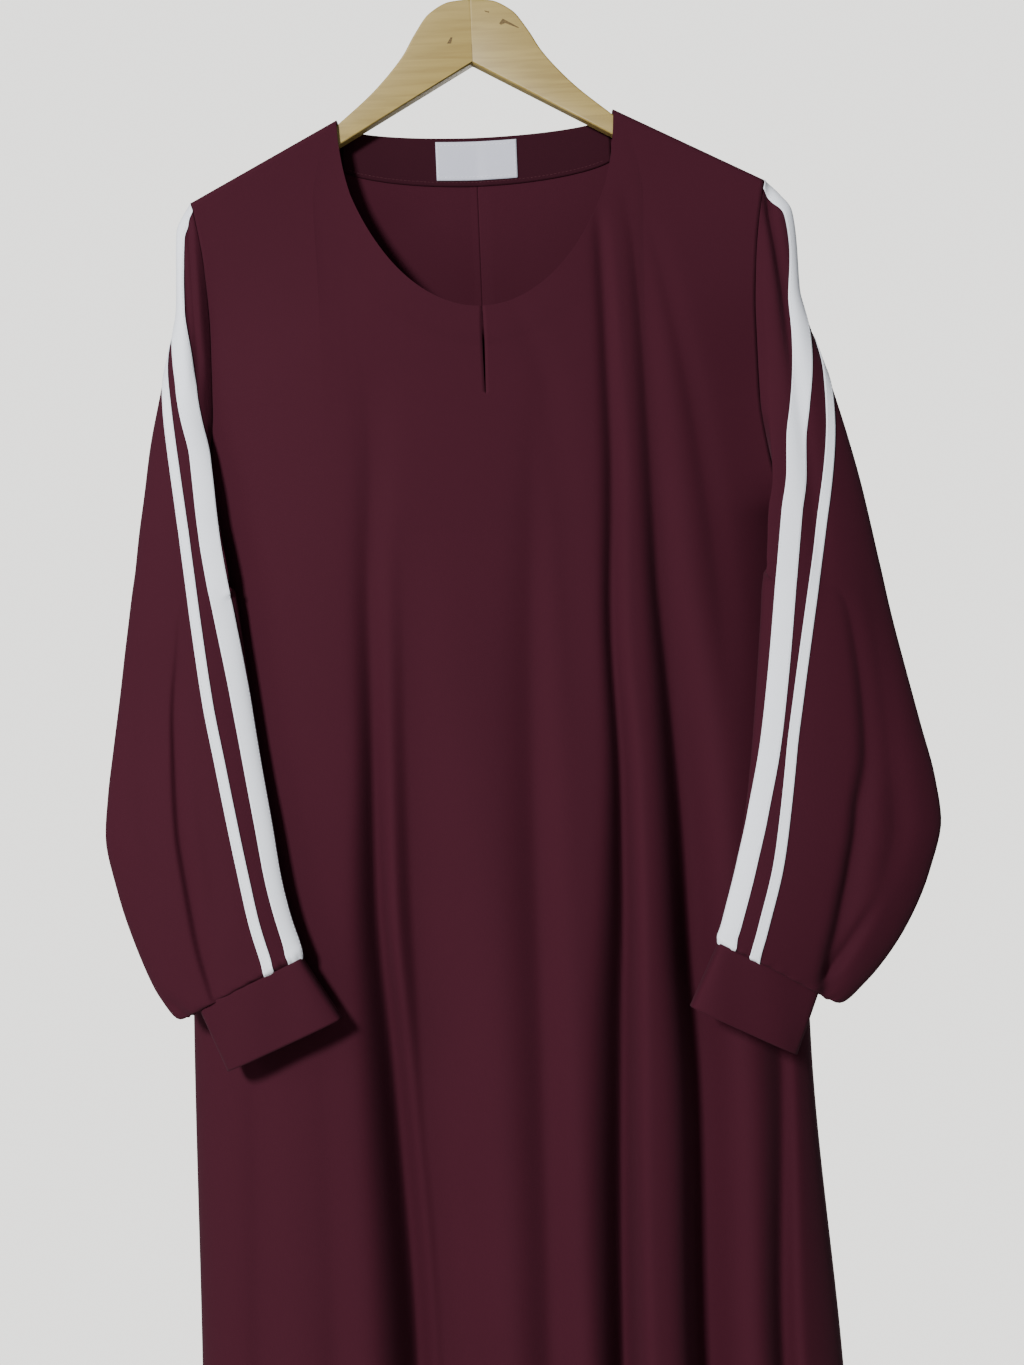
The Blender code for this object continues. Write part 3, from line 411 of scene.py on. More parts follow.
wood = {
    "stretch": (9.0, 60.0, 140.0), "grain": {"Scale": 2.0, "Detail": 6.0, "Distortion": 0.6},
    "pale": ((0.30, (0.275, 0.192, 0.050)), (0.62, (0.350, 0.254, 0.073))),
    "dark": ((0.35, (0.070, 0.042, 0.012)), (0.65, (0.150, 0.095, 0.028))),
    "grainHeight": 0.0001, "grainStrength": 0.3, "specks": {"Scale": 900.0},
    "paleFinish": {"Roughness": 0.42, "Coat Weight": 0.15, "Coat Roughness": 0.3},
    "darkFinish": {"Roughness": 0.75},
}
steel = {"colour": (0.58, 0.58, 0.59), "roughness": 0.18, "spots": 0.2, "spotNoise": {"Scale": 220.0}}


def makeWood():
    # Pale lacquered board: long grain streaks from a stretched noise, and a thin gloss coat
    made, tree, shader = newMaterial("paleWood")
    place = tree.nodes.new("ShaderNodeTexCoord")
    stretch = tree.nodes.new("ShaderNodeMapping")
    setInputs(stretch, {"Scale": wood["stretch"]})
    tree.links.new(place.outputs["Object"], stretch.inputs["Vector"])
    grain = noiseNode(tree, stretch.outputs[0], wood["grain"])
    tree.links.new(rampNode(tree, grain, wood["pale"]), shader.inputs["Base Color"])
    addBump(tree, shader, grain, wood["grainHeight"], wood["grainStrength"])
    setInputs(shader, wood["paleFinish"])
    return made


def makeDarkWood():
    # Old glue and bruised grain, and painted shade in the glued joint's opened gap: brown, with darker and lighter
    # specks
    made, tree, shader = newMaterial("darkWoodAndGapShade")
    place = tree.nodes.new("ShaderNodeTexCoord")
    specks = noiseNode(tree, place.outputs["Object"], wood["specks"])
    tree.links.new(rampNode(tree, specks, wood["dark"]), shader.inputs["Base Color"])
    setInputs(shader, wood["darkFinish"])
    return made


def makeSteel():
    # Bright zinc wire: roughness varies a little along it
    made, tree, shader = newMaterial("hookWire")
    place = tree.nodes.new("ShaderNodeTexCoord")
    noise = noiseNode(tree, place.outputs["Object"], steel["spotNoise"])
    spots = mathNode(tree, "MULTIPLY", noise, steel["spots"])
    tree.links.new(mathNode(tree, "ADD", steel["roughness"], spots), shader.inputs["Roughness"])
    setInputs(shader, {"Base Color": (*steel["colour"], 1), "Metallic": 1.0})
    return made


paleWood, darkWoodAndGapShade, hookSteel = makeWood(), makeDarkWood(), makeSteel()
print("materials made")


# Body: front, two backs, facing, seam allowance and label

body = {
    "shoulderX": 0.1996, "shoulderZ": -0.1939, "neckX": 0.0964, "slope": 0.517,
    "frontDrop": 0.1375, "backDrop": 0.0125, "underarmZ": -0.4340, "length": 1.3720,
    "fan": 0.0220, "fanFall": 0.030, "capHeight": 0.0060, "seam": 0.0003, "wall": 0.0009,
    "slit": 0.0615, "slitFrom": 0.06, "slitPower": 0.6, "slitOpen": 0.0011, "slitLeast": 0.0002, "slitBlend": 0.020,
    "hem": 0.0150, "grooveDeep": 0.0005, "grooveWide": 0.0022,
    "foldsFrom": (0.004, 0.040), "foldPowers": (1.6, 2.2), "rounder": (-0.620, -0.360),
    "neckColumns": 60, "shoulderColumns": 40, "upperRows": 90, "lowerRows": 150,
    "rowPower": 1.75, "rowsLevel": (0.006, 0.046), "columnsEven": (0.02, 0.32),
}
neckZ = body["shoulderZ"] + (body["shoulderX"] - body["neckX"]) * body["slope"]
hemZ = neckZ - body["length"]
# Half width of the body down the armhole and the side seam
sides = {
    "z": (hemZ, -1.0150, -0.8000, -0.6500, -0.5200, -0.4340,
          -0.3900, -0.3400, -0.2900, -0.2400, -0.1939),
    "left": (0.2440, 0.2225, 0.2095, 0.2080, 0.2070, 0.2060,
             0.1950, 0.1895, 0.1895, 0.1925, 0.1996),
    "right": (0.2440, 0.2256, 0.2225, 0.2180, 0.2110, 0.2060,
              0.1950, 0.1895, 0.1895, 0.1925, 0.1996),
}
# Depth of each panel: at its edge, a little way in, and how far its middle stands out beyond the hanger
front = {
    "play": 0.0085, "ramp": 0.16,
    "edge": {
        "z": (hemZ, -0.4340, -0.4200, -0.4000, -0.3600, -0.3000, -0.2400, -0.1939),
        "y": (0.0, 0.0, 0.0125, 0.0175, 0.0155, 0.0115, 0.0095, 0.0085),
    },
    "base": {
        "z": (hemZ, -0.6200, -0.5000, -0.4200, -0.3600, -0.3000, -0.2400, -0.1939),
        "y": (0.0, 0.0, 0.0035, 0.0085, 0.0110, 0.0110, 0.0095, 0.0085),
    },
    "drape": {
        "z": (hemZ, -1.0000, -0.8000, -0.6000, -0.4500, -0.3400, -0.2750, -0.2000, -0.1300),
        "y": (0.0560, 0.0500, 0.0460, 0.0410, 0.0340, 0.0240, 0.0170, 0.0060, 0.0),
    },
}
back = {
    "play": 0.0105, "ramp": 0.10,
    "edge": {
        "z": (hemZ, -0.4340, -0.4200, -0.3900, -0.3400, -0.2800, -0.1939),
        "y": (0.0, 0.0, 0.0105, 0.0145, 0.0140, 0.0120, 0.0105),
    },
    "base": {
        "z": (hemZ, -0.6200, -0.5000, -0.4200, -0.3400, -0.2800, -0.1939),
        "y": (0.0, 0.0, 0.0035, 0.0085, 0.0120, 0.0120, 0.0105),
    },
    "drape": {
        "z": (hemZ, -1.0000, -0.7000, -0.4500, -0.3000, -0.2000, -0.1300),
        "y": (0.0470, 0.0390, 0.0320, 0.0240, 0.0150, 0.0060, 0.0),
    },
}
# Hanging folds: the line of each valley down the cloth, how far its two flanks reach, and its depth.
# Most have one steep flank, towards -X, and one gentle flank
frontCreases = {
    "rightHip": {
        "down": (0.31, 0.37, 0.48, 0.57, 0.68, 0.81, 1.00, 1.51),
        "x": (-0.0790, -0.0800, -0.0855, -0.0865, -0.0880, -0.0815, -0.0750, -0.0790),
        "steep": (0.009, 0.009, 0.008, 0.007, 0.009, 0.012, 0.014, 0.018),
        "gentle": (0.016, 0.014, 0.010, 0.009, 0.009, 0.010, 0.012, 0.016),
        "depth": (0, 0.0021, 0.0061, 0.0110, 0.0188, 0.0256, 0.0320, 0.0416),
    },
    "rightHipSecond": {
        "down": (0.42, 0.507, 0.588, 0.669, 0.750, 0.831, 0.911, 0.979, 1.51),
        "x": (-0.0600, -0.0619, -0.0636, -0.0641, -0.0625, -0.0609, -0.0565, -0.0546, -0.0500),
        "steep": (0.009, 0.009, 0.010, 0.011, 0.013, 0.014, 0.015, 0.015, 0.018),
        "gentle": (0.020, 0.024, 0.030, 0.036, 0.040, 0.040, 0.038, 0.036, 0.036),
        "depth": (0, 0.0036, 0.0085, 0.0135, 0.0180, 0.0225, 0.0260, 0.0280, 0.0330),
    },
    "middle": {
        "down": (0.33, 0.40, 0.55, 0.64, 0.77, 1.00, 1.51),
        "x": (0.0340, 0.0295, 0.0231, 0.0217, 0.0208, 0.0180, 0.0120),
        "steep": (0.010, 0.010, 0.014, 0.015, 0.016, 0.018, 0.024),
        "gentle": (0.012, 0.012, 0.013, 0.014, 0.015, 0.017, 0.022),
        "depth": (0, 0.0016, 0.0054, 0.0077, 0.0101, 0.0135, 0.0230),
    },
    "leftChest": {
        "down": (0.205, 0.24, 0.375, 0.51, 0.60, 0.68, 0.77, 0.90, 1.00, 1.51),
        "x": (0.0825, 0.0834, 0.0846, 0.0795, 0.0818, 0.0808, 0.0765, 0.0711, 0.0679, 0.0580),
        "steep": (0.004, 0.004, 0.005, 0.0045, 0.006, 0.009, 0.012, 0.013, 0.012, 0.017),
        "gentle": (0.006, 0.006, 0.007, 0.007, 0.008, 0.008, 0.009, 0.010, 0.011, 0.016),
        "depth": (0, 0.0030, 0.0062, 0.0098, 0.0136, 0.0191, 0.0240, 0.0285, 0.0300, 0.0390),
    },
    "leftShoulder": {
        "down": (0.19, 0.24, 0.376, 0.465, 0.553, 0.641, 0.728, 0.815, 1.00, 1.51),
        "x": (0.1000, 0.1070, 0.1115, 0.1130, 0.1185, 0.1230, 0.1250, 0.1275, 0.1230, 0.1330),
        "steep": (0.005, 0.005, 0.006, 0.006, 0.008, 0.010, 0.011, 0.011, 0.010, 0.015),
        "gentle": (0.012, 0.013, 0.015, 0.017, 0.020, 0.021, 0.022, 0.023, 0.023, 0.026),
        "depth": (0, 0.0020, 0.0062, 0.0105, 0.0168, 0.0241, 0.0285, 0.0315, 0.0345, 0.0420),
    },
    "leftShoulderFaint": {
        "down": (0.20, 0.275, 0.374, 0.48, 0.57), "x": (0.1150, 0.1290, 0.1450, 0.1550, 0.1600),
        "steep": (0.005, 0.006, 0.007, 0.008, 0.009), "gentle": (0.009, 0.010, 0.012, 0.013, 0.014),
        "depth": (0, 0.0016, 0.0026, 0.0020, 0),
    },
    "leftHip": {
        "down": (0.64, 0.80, 1.00, 1.51), "x": (0.1850, 0.1855, 0.1785, 0.1860),
        "steep": (0.007, 0.009, 0.009, 0.012), "gentle": (0.005, 0.006, 0.008, 0.011),
        "depth": (0, 0.0120, 0.0180, 0.0240),
    },
    "rightThigh": {
        "down": (0.72, 0.95, 1.20, 1.51), "x": (-0.1260, -0.1270, -0.1310, -0.1380),
        "steep": (0.010, 0.011, 0.013, 0.016), "gentle": (0.014, 0.016, 0.018, 0.020),
        "depth": (0, 0.0029, 0.0065, 0.0143),
    },
    "rightSide": {
        "down": (0.60, 0.80, 1.00, 1.51), "x": (-0.1750, -0.1765, -0.1800, -0.1850),
        "steep": (0.009, 0.010, 0.012, 0.015), "gentle": (0.012, 0.014, 0.017, 0.021),
        "depth": (0, 0.0030, 0.0060, 0.0150),
    },
    "chestLeftSoft": {
        "down": (0.26, 0.34, 0.46, 0.62), "x": (0.0150, 0.0420, 0.0500, 0.0530),
        "steep": (0.008, 0.010, 0.012, 0.014), "gentle": (0.010, 0.014, 0.016, 0.018),
        "depth": (0, 0.0012, 0.0016, 0),
    },
}
backCreases = {
    "seam": {
        "down": (0.150, 0.20, 0.30, 0.50, 0.70), "x": (-0.0005, -0.0005, -0.0005, -0.0005, -0.0005),
        "steep": (0.012, 0.014, 0.016, 0.016, 0.016), "gentle": (0.005, 0.005, 0.005, 0.005, 0.005),
        "depth": (0, -0.0008, -0.0012, -0.0010, 0),
    },
    "rightBlade": {
        "down": (0.21, 0.40, 0.60, 0.85, 1.51), "x": (-0.0720, -0.0810, -0.0930, -0.1080, -0.1440),
        "steep": (0.009, 0.010, 0.012, 0.015, 0.021), "gentle": (0.014, 0.015, 0.018, 0.022, 0.027),
        "depth": (0, 0.0030, 0.0070, 0.0120, 0.0220),
    },
    "rightMiddle": {
        "down": (0.34, 0.55, 0.75, 1.00, 1.51), "x": (-0.0300, -0.0360, -0.0340, -0.0420, -0.0500),
        "steep": (0.010, 0.012, 0.014, 0.016, 0.020), "gentle": (0.013, 0.014, 0.017, 0.020, 0.025),
        "depth": (0, 0.0035, 0.0060, 0.0110, 0.0200),
    },
    "leftMiddle": {
        "down": (0.28, 0.50, 0.70, 1.00, 1.51), "x": (0.0480, 0.0500, 0.0540, 0.0500, 0.0520),
        "steep": (0.008, 0.009, 0.012, 0.016, 0.021), "gentle": (0.012, 0.013, 0.016, 0.021, 0.027),
        "depth": (0, 0.0040, 0.0080, 0.0130, 0.0220),
    },
    "leftBlade": {
        "down": (0.20, 0.40, 0.60, 0.85, 1.51), "x": (0.1030, 0.1090, 0.1200, 0.1300, 0.1500),
        "steep": (0.007, 0.009, 0.011, 0.014, 0.019), "gentle": (0.012, 0.014, 0.017, 0.021, 0.026),
        "depth": (0, 0.0040, 0.0080, 0.0130, 0.0210),
    },
    "rightSide": {
        "down": (0.70, 0.95, 1.51), "x": (-0.1800, -0.1850, -0.1980),
        "steep": (0.008, 0.009, 0.012), "gentle": (0.008, 0.010, 0.013), "depth": (0, 0.0050, 0.0120),
    },
}


def creaseDepth(x, z, creases):
    # Sum of the valleys: depth times exp(-(distance over the flank's reach) to a power), which is less on
    # the steep flank than on the gentle one
    total = np.zeros(np.broadcast(x, z).shape)
    for crease in creases.values():
        names = ("x", "steep", "gentle", "depth")
        line, steep, gentle, depth = (smoothThrough(crease["down"], crease[name], -z) for name in names)
        off = x - line
        power = np.where(off < 0, *body["foldPowers"])
        total += depth * np.exp(-(np.abs(off / np.where(off < 0, steep, gentle)) ** power))
    return total


def sideX(x, z):
    # Half width at height z, on the side that x is on
    return np.where(np.asarray(x) >= 0, throughTable(sides, "left", z), throughTable(sides, "right", z))


def shoulderZ(x):
    # The shoulder seam falls in a straight line from the middle to the tip
    return body["shoulderZ"] + (body["shoulderX"] - np.abs(x)) * body["slope"]


def overArm(below):
    # Squarish quarter turn over the hanger's arm: 1 less (1 - t) cubed, to the power of a third
    t = np.clip(below / body["capHeight"], 0.0, 1.0)
    return (1 - (1 - t) ** 3) ** (1 / 3)


def panelDepth(x, z, panel, creases):
    # Near the edge one depth, and towards the middle another times (1 - across cubed) to a power, less the
    # folds. A groove of half a millimetre marks the hem's stitching
    below = shoulderZ(x) - z
    across = np.clip(np.abs(x) / sideX(x, z), 0.0, 1.0)
    atEdge, nearEdge = throughTable(panel["edge"], "y", z), throughTable(panel["base"], "y", z)
    atMiddle = panel["play"] + throughTable(panel["drape"], "y", z) * eased(0.0, panel["ramp"], below)
    power = 0.5 + 0.5 * eased(*body["rounder"], z)
    depth = nearEdge + (atMiddle - nearEdge) * (1 - across**3) ** power + (atEdge - nearEdge) * across**12
    inward = creaseDepth(x, z, creases) * (1 - across**8) * eased(*body["foldsFrom"], below)
    stitched = ((z - hemZ - body["hem"]) / body["grooveWide"]) ** 2
    groove = body["grooveDeep"] * np.exp(-stitched) * (1 - across**8)
    return depth * overArm(below) - inward - groove


def frontY(x, z):
    # The front stands before the middle plane by its depth and half the seam
    return -body["seam"] / 2 - panelDepth(x, z, front, frontCreases)


def backY(x, z):
    # The back stands behind it in the same way
    return body["seam"] / 2 + panelDepth(x, z, back, backCreases)


def halfPlan(drop, side):
    # x and z of half a panel: columns start evenly along the elliptical neck and the shoulder and spread
    # down to the hem, and rows fall from them, close together over the hanger's arm
    turn = np.linspace(0, math.pi / 2, body["neckColumns"])
    along = np.arange(1, body["shoulderColumns"] + 1) / body["shoulderColumns"]
    shoulder = body["neckX"] + (body["shoulderX"] - body["neckX"]) * along
    topX = np.concatenate([body["neckX"] * np.sin(turn), shoulder])
    topZ = np.concatenate([neckZ - drop * np.cos(turn), shoulderZ(shoulder)])
    count = np.arange(len(topX)) / (len(topX) - 1)
    deep = body["shoulderZ"] - body["underarmZ"]
    drops = (deep * (np.arange(body["upperRows"] + 1) / body["upperRows"]) ** body["rowPower"])[:, None]
    near = topZ - drops
    level = eased(*body["rowsLevel"], drops)
    upper = near + (topZ - drops * (topZ - body["underarmZ"]) / deep - near) * level
    share = np.arange(1, body["lowerRows"] + 1)[:, None] / body["lowerRows"]
    lower = body["underarmZ"] + (hemZ - body["underarmZ"]) * share
    z = np.concatenate([upper, np.broadcast_to(lower, (body["lowerRows"], len(topX)))])
    fan = np.concatenate([np.sin(turn) ** 2, (1 - along) ** 2])
    fanned = body["fan"] * fan * (1 - np.exp(-(topZ - z) / body["fanFall"]))
    spread = (topX + fanned) / body["shoulderX"]
    spread = spread + (count - spread) * eased(*body["columnsEven"], topZ - z)
    return side * spread * sideX(side, z), z


def slitHalfWidth(z):
    # A slim gap below the neckline: the sine of the way down to a power below 1, widest near the top
    t = (neckZ - body["frontDrop"] - z) / body["slit"]
    way = np.clip((t - body["slitFrom"]) / (1 - body["slitFrom"]), 0.0, 1.0) ** body["slitPower"]
    gap = body["slitLeast"] + 0.5 * body["slitOpen"] * np.sin(math.pi * way)
    return np.where(t < 0.999, gap, 0.0)


def makeFront():
    # Two halves, joined down the middle below the slit
    halves = []
    for side in (-1, 1):
        x, z = halfPlan(body["frontDrop"], side)
        x = x + side * slitHalfWidth(z) * (1 - eased(0.0, body["slitBlend"], np.abs(x)))
        halves.append(np.stack([x, frontY(x, z), z], axis=-1))
    return clothMesh("frontCloth", halves, crepeCloth, body["wall"], (0, -1, 0), "front", merge=True)


def makeBacks():
    # Each back reaches the middle, where the two are sewn edge to edge
    made = []
    for name, node, side in (("backRightCloth", "back_right", -1), ("backLeftCloth", "back_left", 1)):
        x, z = halfPlan(body["backDrop"], side)
        points = np.stack([x, backY(x, z), z], axis=-1)
        made.append(clothMesh(name, [points], crepeCloth, body["wall"], (0, 1, 0), node))
    return made


trim = {
    "facingX": 0.0945, "facingDeep": 0.0330, "facingTaper": 0.10, "facingTop": 0.0006, "facingIn": 0.0017,
    "labelWidth": 0.0570, "labelHeight": 0.0265, "labelTop": 0.0030, "labelIn": 0.0025, "thick": 0.0006,
    "allowance": 0.0110, "allowanceTop": 0.022, "allowanceEnd": 0.003, "allowanceThick": 0.0004,
    "allowanceIn": 0.00115, "allowanceSink": 0.00060, "seamLine": 0.00050, "crowding": 1.7,
}


def backNeckZ(x):
    # The back neckline is half an ellipse
    return neckZ - body["backDrop"] * np.sqrt(np.clip(1 - (x / body["neckX"]) ** 2, 0.0, 1.0))


def facingDepth(x):
    # The facing is a little less deep towards its ends, by the square of the way there
    return trim["facingDeep"] * (1 - trim["facingTaper"] * (x / trim["facingX"]) ** 2)


def onBack(x, z, inward):
    # A point inside the back panel, moved towards the front
    return np.stack([x, backY(x, z) - inward, z], axis=-1)


def makeTrim():
    # Facing and label follow the back neckline
    x, down = np.meshgrid(np.linspace(-trim["facingX"], trim["facingX"], 120), np.linspace(0.0, 1.0, 24))
    points = onBack(x, backNeckZ(x) - trim["facingTop"] - facingDepth(x) * down, trim["facingIn"])
    toFront = (0, -1, 0)
    # The facing wears the maroon crepe with painted shade
    facing = clothMesh("neckFacing", [points], facingCrepeInPaintedShade, trim["thick"], toFront, "back_neck_facing")
    x, down = np.meshgrid(np.linspace(-0.5, 0.5, 45) * trim["labelWidth"], np.linspace(0.0, 1.0, 24))
    points = onBack(x, backNeckZ(x) - trim["labelTop"] - trim["labelHeight"] * down, trim["labelIn"])
    label = clothMesh("sewnLabel", [points], labelCloth, trim["thick"], toFront, "label")
    return facing, label, points


def makeAllowance():
    # The centre seam's two allowances lie pressed flat behind one fine line, and sink into the cloth at
    # their outer edges by the square of the way there. Columns crowd towards the line
    across, down = np.meshgrid(np.linspace(-1.0, 1.0, 41), np.linspace(0.0, 1.0, 200))
    x = trim["allowance"] * np.sign(across) * np.abs(across) ** trim["crowding"]
    top = backNeckZ(0.0) - trim["allowanceTop"]
    z = top + (hemZ + trim["allowanceEnd"] - top) * down
    line = trim["seamLine"] * np.exp(-(x / trim["seamLine"]) ** 2)
    points = onBack(x, z, trim["allowanceIn"] - trim["allowanceSink"] * across ** 2 - line)
    return clothMesh("seamAllowance", [points], crepeCloth, trim["allowanceThick"], (0, -1, 0), None)


frontPiece, backPieces = makeFront(), makeBacks()
facingPiece, labelPiece, labelPoints = makeTrim()
allowancePiece = makeAllowance()
print("body made")


# Sleeves, cuffs and tapes

sleeve = {
    "foldAngle": 2.5, "clearance": 0.0035, "capDrop": 0.0140, "wall": 0.0009, "gather": 0.0005,
    "wideTape": 0.0140, "narrowTape": 0.0070, "tapeThick": 0.0006, "tapeLift": 0.0003, "tapeEnds": (0.03, 0.05),
    "evenFrom": 9.0, "evenTo": 15.0, "columns": 280, "rowsPerRing": 6, "tapeRowsPerRing": 10,
    "fillFrom": (2.25, 2.55), "puckers": 26, "puckerSway": 2.2, "puckersAbove": (1.7, 0.35),
    "endFades": (0.25, 0.20), "fan": (60.0, 179.0, 0.5), "girth": 1.5, "foldMargin": 0.15, "pleatPower": 1.6,
    "headFlat": (-0.045, 0.045, 0.150), "headWidth": 0.03, "creaseFade": (0.10, 0.55),
    "frontPressed": (5.0, 7.0), "backPressed": (10.0, 11.5), "foldPressed": (10.8, 12.6), "foldReach": 0.25,
}
cuff = {
    "lap": 0.0010, "frontSwell": 0.0024, "backSwell": 0.0006, "swellFrom": 0.35, "round": 0.0006, "wave": 0.0004,
    "wall": 0.0014, "columns": 97, "rows": 33,
}
# Drops below the shoulder of the head's rings, which share the armhole's heights
headDrops = (0.0280, 0.0460, 0.0680, 0.0950, 0.1240, 0.1540, 0.1840, 0.2100, 0.2290, 0.2401)
headColumns = ("outerX", "outerZ", "outerY", "overhang", "forward", "front", "back")
ringColumns = (
    "outerX", "outerZ", "outerY", "innerX", "innerZ", "innerY", "seamOut", "seamBack", "front", "back", "square",
)
# Rings of both sleeves, by those columns; the pleat and the tapes by ring and angle; creases as on the body
left = {
    "side": 1,
    "head": (
        (0.2105, -0.2050, -0.0010, 0.0, 0.0, 0.0040, 0.0045),
        (0.2182, -0.2165, -0.0020, 0.0, 0.0, 0.0060, 0.0055),
        (0.2205, -0.2400, -0.0030, 0.0, 0.0, 0.0080, 0.0065),
        (0.2210, -0.2700, -0.0050, 0.0, 0.0, 0.0095, 0.0080),
        (0.2300, -0.3060, -0.0070, 0.0, 0.0, 0.0105, 0.0090),
        (0.2406, -0.3400, -0.0090, 0.0, 0.0, 0.0115, 0.0100),
        (0.2500, -0.3750, -0.0110, 0.0035, 0.0050, 0.0120, 0.0110),
        (0.2575, -0.4080, -0.0135, 0.0105, 0.0095, 0.0130, 0.0120),
        (0.2625, -0.4350, -0.0155, 0.0212, 0.0165, 0.0145, 0.0130),
        (0.2665, -0.4580, -0.0170, 0.0250, 0.0290, 0.0155, 0.0140),
    ),
    "tube": (
        (0.2690, -0.4720, -0.0180, 0.1800, -0.4450, -0.0310, 0.0270, 0.0190, 0.0158, 0.0145, 1.00),
        (0.2725, -0.4930, -0.0197, 0.1786, -0.4600, -0.0328, 0.0194, 0.0090, 0.0160, 0.0150, 1.00),
        (0.2757, -0.5100, -0.0210, 0.1842, -0.4761, -0.0345, 0.0, 0.0, 0.0160, 0.0150, 1.00),
        (0.2815, -0.5380, -0.0235, 0.1815, -0.5008, -0.0370, 0.0, 0.0, 0.0160, 0.0150, 1.00),
        (0.2900, -0.5780, -0.0270, 0.1768, -0.5420, -0.0410, 0.0, 0.0, 0.0160, 0.0150, 1.00),
        (0.2975, -0.6130, -0.0300, 0.1710, -0.5890, -0.0460, 0.0, 0.0, 0.0160, 0.0150, 1.00),
        (0.3003, -0.6420, -0.0325, 0.1640, -0.6330, -0.0510, 0.0, 0.0, 0.0160, 0.0150, 1.00),
        (0.2900, -0.6790, -0.0355, 0.1562, -0.6650, -0.0548, 0.0, 0.0, 0.0160, 0.0145, 0.95),
        (0.2700, -0.7180, -0.0395, 0.1480, -0.6920, -0.0575, 0.0, 0.0, 0.0165, 0.0145, 0.90),
        (0.2430, -0.7500, -0.0440, 0.1430, -0.7080, -0.0598, 0.0, 0.0, 0.0165, 0.0150, 0.85),
        (0.2235, -0.7640, -0.0480, 0.1405, -0.7135, -0.0610, 0.0, 0.0, 0.0155, 0.0145, 0.80),
        (0.2093, -0.7540, -0.0520, 0.1412, -0.7185, -0.0610, 0.0, 0.0, 0.0100, 0.0090, 0.60),
    ),
    "cuffEnd": (0.1922, -0.7959, -0.0540, 0.1208, -0.7591, -0.0640, 0.0, 0.0, 0.0105, 0.0095, 0.55),
    "pleat": {
        "ring": (12.0, 14.25, 15.75, 17.0, 18.25, 19.25, 20.5, 21.5, 22.0),
        "angle": (78, 74, 77, 84, 81, 74, 55, 32, 20),
        "depth": (0, 0.0030, 0.0050, 0.0065, 0.0070, 0.0070, 0.0058, 0.0030, 0.0010),
    },
    "pleatReach": (0.0110, 0.0045),
    "fill": {"ring": 12.53, "reach": 0.24, "by": 0.0032},
    "tapes": {
        "wide": (60, 30, 22, 20, 30, 58, 85, 105, 111.5, 115, 118.5, 120,
                 122.5, 133.5, 136.5, 140.5, 145.5, 152, 154, 153.5, 153, 149, 149),
        "narrow": (-62, -78, -70, -68, -57, -22, 30, 57, 75, 83.5, 90, 93.5,
                   98, 108, 114, 121, 126.5, 128, 126, 124, 120, 114.5, 107),
    },
    "creases": {
        "elbow": {
            "down": (0.46, 0.55, 0.64, 0.70), "x": (0.2560, 0.2630, 0.2660, 0.2500),
            "steep": (0.006, 0.008, 0.009, 0.007), "gentle": (0.010, 0.012, 0.012, 0.010),
            "depth": (0, 0.0020, 0.0030, 0),
        },
        "head": {
            "down": (0.19, 0.21, 0.25, 0.29, 0.33), "x": (0.2010, 0.2015, 0.2060, 0.2095, 0.2110),
            "steep": (0.0022, 0.0026, 0.0030, 0.0030, 0.0030), "gentle": (0.004, 0.005, 0.006, 0.006, 0.006),
            "depth": (0, 0.0036, 0.0044, 0.0028, 0),
        },
        "crook": {
            "down": (0.27, 0.33, 0.42, 0.50), "x": (0.2080, 0.2130, 0.2200, 0.2250),
            "steep": (0.004, 0.005, 0.006, 0.006), "gentle": (0.006, 0.007, 0.008, 0.009),
            "depth": (0, 0.0024, 0.0018, 0),
        },
        "wrist": {
            "down": (0.690, 0.715, 0.738, 0.750), "x": (0.2520, 0.2350, 0.2180, 0.2080),
            "steep": (0.004, 0.005, 0.005, 0.004), "gentle": (0.006, 0.007, 0.006, 0.005),
            "depth": (0, 0.0026, 0.0032, 0),
        },
    },
}
